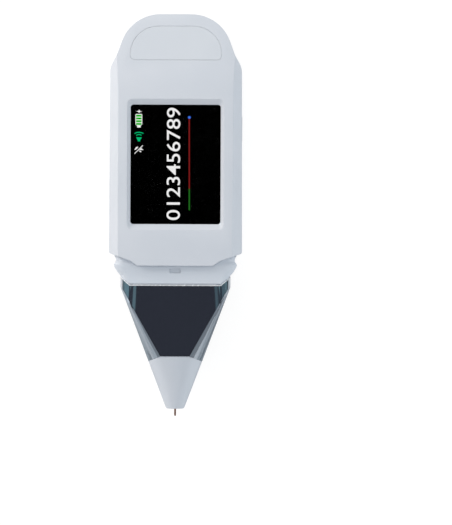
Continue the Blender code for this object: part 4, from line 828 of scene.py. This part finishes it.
key_plastic = moulded("key_plastic", (0.52, 0.575, 0.645), (0.545, 0.60, 0.67), (0.32, 0.40))
dressed("power_key", key_plastic)
tin = finish("switch_tin", metallic=1.0)
toned(tin, noise(tin, 800.0), (0.45, 0.46, 0.48), (0.60, 0.61, 0.62))
glossed(tin, noise(tin, 500.0), 0.3, 0.45)
put_on("key_switch", tin)


# Collar: the stepped skirt between case and grip, moulded in the case's white.
# Its neck slides into the shells and its sleeve into the grip, and a small detent marks its front.

COLLAR_WHITE = (0.600, 0.652, 0.720)
COLLAR_WHITE_DEEP = (0.580, 0.634, 0.705)

collar_plastic = moulded("collar_plastic", COLLAR_WHITE_DEEP, COLLAR_WHITE, (0.30, 0.38))
dressed("neck_collar", collar_plastic, angle=math.radians(28))

# Chin bead: a thin soft bead of the same white that closes the slot between case and collar.
# It lies in the slot along the stepped lower edge of the front shell.

BEAD_RADIUS = 0.24 * MM
BEAD_STEPS = 2
BEAD_LINE = (
    (-25.0, -16.5, 19.0),
    (-24.9, -16.52, 20.6),
    (-24.4, -16.68, 22.0),
    (-23.7, -16.93, 23.25),
    (-23.0, -17.2, 23.74),
    (-18.55, -18.83, 23.74),
    (-18.0, -19.12, 23.74),
    (-15.75, -20.82, 23.74),
    (-15.4, -20.9, 23.74),
)


def bead(name, points, radius, material):
    """Round bead laid along a line of points."""
    curve = bpy.data.curves.new(name, "CURVE")
    curve.dimensions = "3D"
    curve.bevel_depth = radius
    curve.bevel_resolution = BEAD_STEPS
    curve.use_fill_caps = True
    spline = curve.splines.new("POLY")
    spline.points.add(len(points) - 1)
    for target, point in zip(spline.points, points):
        target.co = (*point, 1)
    flattened(name, curve, Matrix.Identity(4), material)


bead_line = [(x * MM, y * MM, z * MM) for x, y, z in BEAD_LINE]
bead_line += [(-x, y, z) for x, y, z in reversed(bead_line)]
bead("chin_bead", bead_line, BEAD_RADIUS, collar_plastic)


# Contact frame: the bright plated frame of the grip that the fingers touch.
# The plating is a mirror with the faintest haze and hairlines along the grip.

chrome = finish("bright_chrome", metallic=1.0)
toned(chrome, noise(chrome, 60.0), (0.60, 0.635, 0.67), (0.65, 0.685, 0.72))
glossed(chrome, noise(chrome, 700.0, detail=3.0, stretch=(6.0, 0.4, 6.0)), 0.09, 0.15)
chrome_frame = dressed("contact_frame", chrome, angle=math.radians(40))

# Nose joint: the frame ends in a shallow V at each flank, and the nose closes it.
# They meet with a hairline between them, which falls a little toward the sides.

JOINT_CREST = 6.28 * MM
JOINT_SIDE = 10.9 * MM
JOINT_FALL = 0.422
JOINT_BAND = 0.1 * MM
JOINT_CLOSE = 0.25 * MM
JOINT_DROP_SHARE = 0.07
TAPER_SHARE = 0.385
NOSE_GAP = 0.3 * MM
frame_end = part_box("front_grip_panel")[0].y


def lowered_joint(piece, top, drop):
    """Carries a piece's V-shaped edge on along the taper, more at the sides than at the crest."""
    for corner in piece.data.vertices:
        x, y, z = corner.co
        reach = abs(x) - JOINT_CREST
        if reach > 0 and abs(y - top + reach * JOINT_FALL) < JOINT_BAND:
            down = drop + reach * JOINT_DROP_SHARE
            corner.co = (x * (1 - down * TAPER_SHARE / JOINT_SIDE), y - down, z)


# Flanks: toward the nose they stand a little further out, and their slanting edges further in.
# The nose and the two panels follow them, and the moved edges stay on the rounded surface.

FLARE_TOP = -28.8 * MM
FLARE_FULL = -59.7 * MM
FLARE_SHARE = 0.034
FLANK_EDGE = (
    (-59.7 * MM, 5.6 * MM),
    (-57.75 * MM, 6.28 * MM),
    (-46.2 * MM, 12.9 * MM),
    (-40.4 * MM, 15.9 * MM),
    (-34.5 * MM, 19.2 * MM),
    (-29.0 * MM, 21.3 * MM),
)
FLANK_INSET = (
    (-63.0 * MM, 0.0),
    (-59.7 * MM, 0.45 * MM),
    (-57.75 * MM, 0.5 * MM),
    (-40.4 * MM, 0.3 * MM),
    (-28.8 * MM, 0.3 * MM),
    (-28.0 * MM, 0.0),
)
FRAME_ROUND = 6.8 * MM
low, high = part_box("contact_frame")
round_middle = (high.x - FRAME_ROUND, high.z - FRAME_ROUND)
frame_middle = (low.z + high.z) / 2


def frame_surface(x):
    """Height of the frame's rounded front at a distance from the middle."""
    reach = max(abs(x) - round_middle[0], 0)
    return round_middle[1] + math.sqrt(max(FRAME_ROUND ** 2 - reach ** 2, 0))


def value_at(place, points):
    """Value at a place on a line through points, level beyond its ends."""
    for (start, low), (end, high) in zip(points, points[1:]):
        if place <= end:
            return low + (high - low) * max(place - start, 0) / (end - start)
    return points[-1][1]


def flared(piece):
    """Widens a piece toward the needle, most at its flanks, and moves the flanks' edges in."""
    for corner in piece.data.vertices:
        x, y, z = corner.co
        run = min(max((FLARE_TOP - y) / (FLARE_TOP - FLARE_FULL), 0), 1)
        half_width = JOINT_SIDE + TAPER_SHARE * (y - FLARE_FULL)
        corner.co.x = x * (1 + FLARE_SHARE * run * min(abs(x) / half_width, 1) ** 2)
        edge = value_at(y, FLANK_EDGE)
        beyond_edge = max(half_width - abs(x), 0) / max(half_width - edge, MERGE)
        inset = value_at(y, FLANK_INSET) * min(abs(x) / edge, beyond_edge)
        reach = max(abs(corner.co.x) - inset, 0)
        rise = frame_surface(reach) - frame_surface(corner.co.x)
        corner.co.x = math.copysign(reach, x)
        corner.co.z += math.copysign(rise, z - frame_middle)


lowered_joint(chrome_frame, frame_end, JOINT_CLOSE)
flared(chrome_frame)


# Collar trim: a bright half-round rib along the top lip of the frame, right under the collar.
# A soft white bead behind it closes the slot between collar and frame.

TRIM_RADIUS = 0.29 * MM
TRIM_SINK = 0.06 * MM
TRIM_STEPS = 10
TRIM_CORNER = (18.74 * MM, -28.79 * MM)
TRIM_END = (22.42 * MM, -25.58 * MM)
SLOT_BEAD_RADIUS = 0.26 * MM
SLOT_BEAD_SINK = 0.45 * MM
SLOT_SETBACK = 0.47 * MM


def lip_line(setback, sink):
    """Line along the lip of the frame, from one flank over the front to the other."""
    shares = [step / TRIM_STEPS for step in range(TRIM_STEPS + 1)]
    bend, (corner_x, corner_y), (end_x, end_y) = round_middle[0], TRIM_CORNER, TRIM_END
    half = [(0.0, corner_y), (bend, corner_y)]
    half += [(bend + (corner_x - bend) * share, corner_y) for share in shares[2::2]]
    half += [
        (corner_x + (end_x - corner_x) * share, corner_y + (end_y - corner_y) * share)
        for share in shares[1:]
    ]
    half = [(x, y + setback, frame_surface(x) - sink) for x, y in half]
    return [(-x, y, z) for x, y, z in reversed(half[1:])] + half


trim_metal = finish("trim_metal", metallic=0.7)
toned(trim_metal, noise(trim_metal, 300.0), (0.90, 0.92, 0.94), (0.95, 0.96, 0.97))
glossed(trim_metal, noise(trim_metal, 900.0), 0.2, 0.3)
trim_line = lip_line(0.0, TRIM_SINK)
slot_line = lip_line(SLOT_SETBACK, SLOT_BEAD_SINK)
bead("collar_trim", trim_line, TRIM_RADIUS, trim_metal)
bead("collar_slot_bead", slot_line, SLOT_BEAD_RADIUS, collar_plastic)


# Grip panels: dark navy plates with a fine speckle under a hard clear coat.
# One is let into the front of the frame and one into its rear, their long edges rounded.

PANEL_NAVY = (0.024, 0.028, 0.041)
PANEL_FLECK = (0.038, 0.043, 0.060)
PANEL_SHEEN = (0.50, 0.90, 1.0, 1.0)
PANEL_SPREAD = 0.22 * MM

navy = finish("panel_navy", ior=2.0, specular_ior_level=0.8, specular_tint=PANEL_SHEEN)
toned(navy, noise(navy, 6000.0, detail=3.0), PANEL_NAVY, PANEL_FLECK, start=0.40, end=0.70)
glossed(navy, noise(navy, 1800.0), 0.03, 0.06)
for panel_name in ("front_grip_panel", "rear_grip_panel"):
    panel = dressed(panel_name, navy, angle=math.radians(24))
    spread_out(panel, PANEL_SPREAD)
    flared(panel)


# Nose cone: white plastic, faceted where it meets the frame and round at its end.
# Its collar of facets follows the flanks of the frame, and the probe runs through its middle.

CONE_START = -54.5 * MM
CONE_FULL = -59.0 * MM
CONE_OUTSIDE_SHARE = 0.35
CONE_SLOPE = 0.38

nose_plastic = moulded("nose_plastic", (0.541, 0.586, 0.650), (0.566, 0.610, 0.672), (0.32, 0.40))
nose = dressed("nose_cone", nose_plastic, angle=math.radians(28))
lowered_joint(nose, frame_end - NOSE_GAP, 0.0)
flared(nose)


def round_shading(piece, middle):
    """Lets the outer skin's shading turn from its facets into a plain cone along the length."""
    mesh = piece.data
    normals = [Vector(corner.vector) for corner in mesh.corner_normals]
    for face in mesh.polygons:
        away = Vector((face.center.x, 0, face.center.z - middle))
        if not away.length or face.normal.dot(away.normalized()) < CONE_OUTSIDE_SHARE:
            continue
        for loop in face.loop_indices:
            skin = mesh.vertices[mesh.loops[loop].vertex_index].co
            share = min(max((skin.y - CONE_START) / (CONE_FULL - CONE_START), 0), 1)
            around = Vector((skin.x, 0, skin.z - middle)).normalized()
            plain = (around + Vector((0, -CONE_SLOPE, 0))).normalized()
            normals[loop] = normals[loop].lerp(plain, share).normalized()
    mesh.normals_split_custom_set([tuple(normal) for normal in normals])


low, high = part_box("nose_cone")
round_shading(nose, (low.z + high.z) / 2)


# Probe: a copper needle in a sprung brass carrier, guided by a cream resin bush in the nose.
# The needle and its carrier slide back together against the spring when the tip is pressed.

TOOL_MARK_DEPTH = 0.003 * MM


def drawn_metal(name, deep, light, roughness):
    """Metal drawn or turned along the probe, with fine marks round its axis."""
    material = finish(name, metallic=1.0)
    toned(material, noise(material, 900.0, detail=3.0, stretch=(1.0, 6.0, 1.0)), deep, light)
    glossed(material, noise(material, 1200.0, stretch=(1.0, 10.0, 1.0)), *roughness)
    bumped(material, noise(material, 2500.0, stretch=(1.0, 8.0, 1.0)), TOOL_MARK_DEPTH)
    return material


copper = drawn_metal("needle_copper", (0.34, 0.15, 0.09), (0.50, 0.25, 0.16), (0.24, 0.40))
brass = drawn_metal("probe_brass", (0.52, 0.38, 0.14), (0.66, 0.50, 0.22), (0.22, 0.36))
spring_steel = drawn_metal("spring_steel", (0.42, 0.42, 0.43), (0.56, 0.56, 0.58), (0.2, 0.34))
bush_resin = finish("guide_resin", subsurface_weight=0.05)
toned(bush_resin, noise(bush_resin, 900.0), (0.66, 0.63, 0.55), (0.74, 0.71, 0.63))
glossed(bush_resin, noise(bush_resin, 700.0), 0.38, 0.5)
bumped(bush_resin, noise(bush_resin, 4000.0), 0.005 * MM)
dressed("probe_needle", copper)
dressed("tip_guide", bush_resin)
for inside, cover in (
    ("probe_carrier", brass),
    ("probe_barrel", brass),
    ("contact_leaf", brass),
    ("barrel_plug", bush_resin),
):
    put_on(inside, cover)

# Return spring: a steel coil that stands on the plug at the end of the barrel.

spring = dressed("probe_spring", spring_steel, angle=math.radians(40))
low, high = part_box("probe_spring")
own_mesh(spring)


# Studio: a plain pale table top, a white surround and five large soft lights.
# Two stand low at the left, and one each beyond the head, beyond the needle and at the right.
# In gloss the surround shows as bands of light by angle, and the table as tones by place: a painted
# shade under the tester and a painted highlight patch beside its head.

FLOOR_HALF = 3.0
FLOOR_DROP = 0.05 * MM
FLOOR_WHITE = (0.80, 0.80, 0.80)
FLOOR_FAINT = (0.2, 0.2, 0.2)
FLOOR_GLOW = 0.86
# Table tones seen only in gloss: painted shade under the tester, plain further out, and a painted
# highlight patch beside the head.
MIRRORED_SHADE_UNDER = (0.38, 0.44, 0.49)
MIRRORED_OPEN = (0.62, 0.66, 0.71)
MIRRORED_HIGHLIGHT_NEAR = (0.98, 0.99, 1.0)
UNDER_HALF_WIDTH = 14 * MM
OPEN_HALF_WIDTH = 40 * MM
NEAR_HALF_WIDTH = 39 * MM
NEAR_END = -31 * MM
NEAR_FADE = 3 * MM
SURROUND = (0.53, 0.53, 0.54)
SIDE_BANDS = (
    (-90, (0.84, 0.92, 1.00)),
    (-56, (0.84, 0.92, 1.00)),
    (-50, (0.02, 0.03, 0.04)),
    (-25, (0.02, 0.03, 0.04)),
    (-20, (0.64, 0.66, 0.70)),
    (-9, (0.64, 0.66, 0.70)),
    (-5, (0.0, 0.0, 0.0)),
    (4, (0.0, 0.0, 0.0)),
    (10, (0.36, 0.40, 0.44)),
    (22, (0.30, 0.33, 0.36)),
    (28, (0.05, 0.06, 0.07)),
    (50, (0.06, 0.07, 0.08)),
    (56, (0.38, 0.42, 0.46)),
    (90, (0.46, 0.50, 0.55)),
)
END_BANDS = (
    (-90, (0.40, 0.45, 0.51)),
    (-12, (0.40, 0.45, 0.51)),
    (-5, (0.0, 0.0, 0.0)),
    (5, (0.0, 0.0, 0.0)),
    (10, (1.0, 1.0, 1.0)),
    (40, (1.0, 1.0, 1.0)),
    (48, (0.24, 0.26, 0.30)),
    (90, (0.24, 0.26, 0.30)),
)
TIP_SHADES = (
    (-90, (0.56, 0.56, 0.56)),
    (-24, (0.56, 0.56, 0.56)),
    (-14, (1.0, 1.0, 1.0)),
    (90, (1.0, 1.0, 1.0)),
)
LIGHT_DISTANCE = 1.1
LIGHT_SHAPE = 0.6

floor_mesh = bpy.data.meshes.new("table_top")
floor_corners = [
    (x * FLOOR_HALF, y * FLOOR_HALF, -FLOOR_DROP) for x, y in ((-1, -1), (1, -1), (1, 1), (-1, 1))
]
floor_mesh.from_pydata(floor_corners, [], [(0, 1, 2, 3)])
floor = bpy.data.objects.new("table_top", floor_mesh)
bpy.context.scene.collection.objects.link(floor)


def emptied(holder):
    """Node tree of a material or a world, with nothing in it."""
    holder.use_nodes = True
    holder.node_tree.nodes.clear()
    return holder.node_tree


def mixed(tree, share, first, second):
    """One shader or another, by a share."""
    return node(tree, "ShaderNodeMixShader", {"Fac": share, 1: first, 2: second}).outputs["Shader"]


def diffuse(tree, tone):
    """Matt shader of a tone."""
    return node(tree, "ShaderNodeBsdfDiffuse", {"Color": tone}).outputs["BSDF"]


table_paint = bpy.data.materials.new("table_paint")
floor_mesh.materials.append(table_paint)
tree = emptied(table_paint)
path = node(tree, "ShaderNodeLightPath").outputs
seen = node(tree, "ShaderNodeMath", {
    0: path["Is Camera Ray"], 1: path["Is Transmission Ray"],
}, operation="MAXIMUM")
glow = node(tree, "ShaderNodeEmission", {"Strength": FLOOR_GLOW})
bright = node(tree, "ShaderNodeAddShader", {
    0: diffuse(tree, (*FLOOR_FAINT, 1)), 1: glow.outputs["Emission"],
})
looked_at = mixed(
    tree, seen.outputs["Value"], diffuse(tree, (*FLOOR_WHITE, 1)), bright.outputs["Shader"],
)
# Gloss-only table tone: painted shade under the tester that fades outward, and a painted highlight
# patch beside the head.
table_place = node(tree, "ShaderNodeTexCoord").outputs["Object"]
parts = node(tree, "ShaderNodeSeparateXYZ", {"Vector": table_place}).outputs
width = node(tree, "ShaderNodeMath", {0: parts["X"]}, operation="ABSOLUTE").outputs["Value"]
near = node(tree, "ShaderNodeMath", {
    0: ranged(tree, width, NEAR_HALF_WIDTH + NEAR_FADE, NEAR_HALF_WIDTH),
    1: ranged(tree, parts["Y"], NEAR_END - NEAR_FADE, NEAR_END),
}, operation="MULTIPLY")
outward = ranged(tree, width, UNDER_HALF_WIDTH, OPEN_HALF_WIDTH)
shade = node(tree, "ShaderNodeMix", {
    "Factor": near.outputs["Value"],
    "A": colour_ramp(tree, outward, ((0.0, MIRRORED_SHADE_UNDER), (1.0, MIRRORED_OPEN))),
    "B": (*MIRRORED_HIGHLIGHT_NEAR, 1),
}, data_type="RGBA")
from_above = mixed(
    tree, path["Is Glossy Ray"], looked_at, diffuse(tree, shade.outputs["Result"]),
)
from_below = node(tree, "ShaderNodeBsdfTransparent").outputs["BSDF"]
underside = node(tree, "ShaderNodeNewGeometry").outputs["Backfacing"]
node(tree, "ShaderNodeOutputMaterial", {"Surface": mixed(tree, underside, from_above, from_below)})

surround = bpy.data.worlds.new("surround")
bpy.context.scene.world = surround
sky = emptied(surround)
path = node(sky, "ShaderNodeLightPath").outputs
way = node(sky, "ShaderNodeTexCoord").outputs["Generated"]
way_parts = node(sky, "ShaderNodeSeparateXYZ", {"Vector": way}).outputs


def banded(axis, tones):
    """Bands of light by the angle from straight up, measured along one axis."""
    lean = node(sky, "ShaderNodeMath", {0: way_parts[axis], 1: way_parts["Z"]}, operation="ARCTAN2")
    turn = ranged(sky, lean.outputs["Value"], -math.pi / 2, math.pi / 2)
    return colour_ramp(sky, turn, [((angle + 90) / 180, tone) for angle, tone in tones])


def layered(blend, first, second):
    """One tone laid over another in full."""
    both = node(sky, "ShaderNodeMix", {
        "Factor": 1.0, "A": first, "B": second,
    }, data_type="RGBA", blend_type=blend)
    return both.outputs["Result"]


def backdrop(tone):
    """Light of a tone from all round."""
    return node(sky, "ShaderNodeBackground", {"Color": tone}).outputs["Background"]


bands = layered("LIGHTEN", banded("X", SIDE_BANDS), banded("Y", END_BANDS))
mirrored = layered("MULTIPLY", bands, banded("Y", TIP_SHADES))
room = mixed(sky, path["Is Glossy Ray"], backdrop((*SURROUND, 1)), backdrop(mirrored))
node(sky, "ShaderNodeOutputWorld", {
    "Surface": mixed(sky, path["Is Camera Ray"], room, backdrop((1, 1, 1, 1))),
})

middle = (cad_low + cad_high) / 2
for name, azimuth, elevation, size, power, tint in (
    ("key_light", 149.0, 28.0, 0.3, 3.2, (1.0, 0.94, 0.88)),
    ("left_light", 150.0, 13.0, 0.9, 5.4, (1.0, 0.90, 0.80)),
    ("head_light", 90.0, 34.0, 1.2, 3.25, (0.96, 1.0, 0.99)),
    ("right_light", 0.0, 16.0, 0.9, 2.9, (0.94, 1.0, 1.0)),
    ("tip_light", 270.0, 30.0, 1.0, 3.1, (0.98, 1.0, 1.0)),
):
    data = bpy.data.lights.new(name, "AREA")
    data.shape = "RECTANGLE"
    data.size = size
    data.size_y = size * LIGHT_SHAPE
    data.energy = power
    data.color = tint
    lamp = bpy.data.objects.new(name, data)
    bpy.context.scene.collection.objects.link(lamp)
    turn, rise = math.radians(azimuth), math.radians(elevation)
    level = math.cos(rise)
    away = Vector((math.cos(turn) * level, math.sin(turn) * level, math.sin(rise)))
    lamp.location = middle + away * LIGHT_DISTANCE
    lamp.rotation_mode = "QUATERNION"
    lamp.rotation_quaternion = away.to_track_quat("Z", "Y")
    lamp.visible_glossy = False
    lamp.visible_transmission = False


# Camera: nearly straight above the screen, a little to its right, far enough to flatten the view.
# The tester stands left of the middle of the picture and leans by a quarter of a degree.

CAMERA_DISTANCE = 1.4
CAMERA_YAW = math.radians(0.35)
CAMERA_ROLL = math.radians(0.24)
CAMERA_REACH = 100.0
SENSOR = 36.0
PICTURE_LINES = 525
AIM_LINE = 262.5
AIM_COLUMNS = 50.65
AIM_HEIGHT = 20.0 * MM

camera_data = bpy.data.cameras.new("camera")
camera_data.sensor_width = SENSOR
camera_data.lens = SENSOR * CAMERA_DISTANCE / (PICTURE_LINES * VIEW_STEP)
camera_data.clip_end = CAMERA_REACH
camera = bpy.data.objects.new("camera", camera_data)
bpy.context.scene.collection.objects.link(camera)
aim = Vector((AIM_COLUMNS * VIEW_STEP, spot(0, AIM_LINE)[1], AIM_HEIGHT))
turn = Matrix.Rotation(CAMERA_YAW, 4, "Y") @ Matrix.Rotation(CAMERA_ROLL, 4, "Z")
camera.matrix_world = Matrix.Translation(aim) @ turn @ Matrix.Translation((0, 0, CAMERA_DISTANCE))
bpy.context.scene.camera = camera
bpy.context.scene.view_settings.view_transform = "Standard"
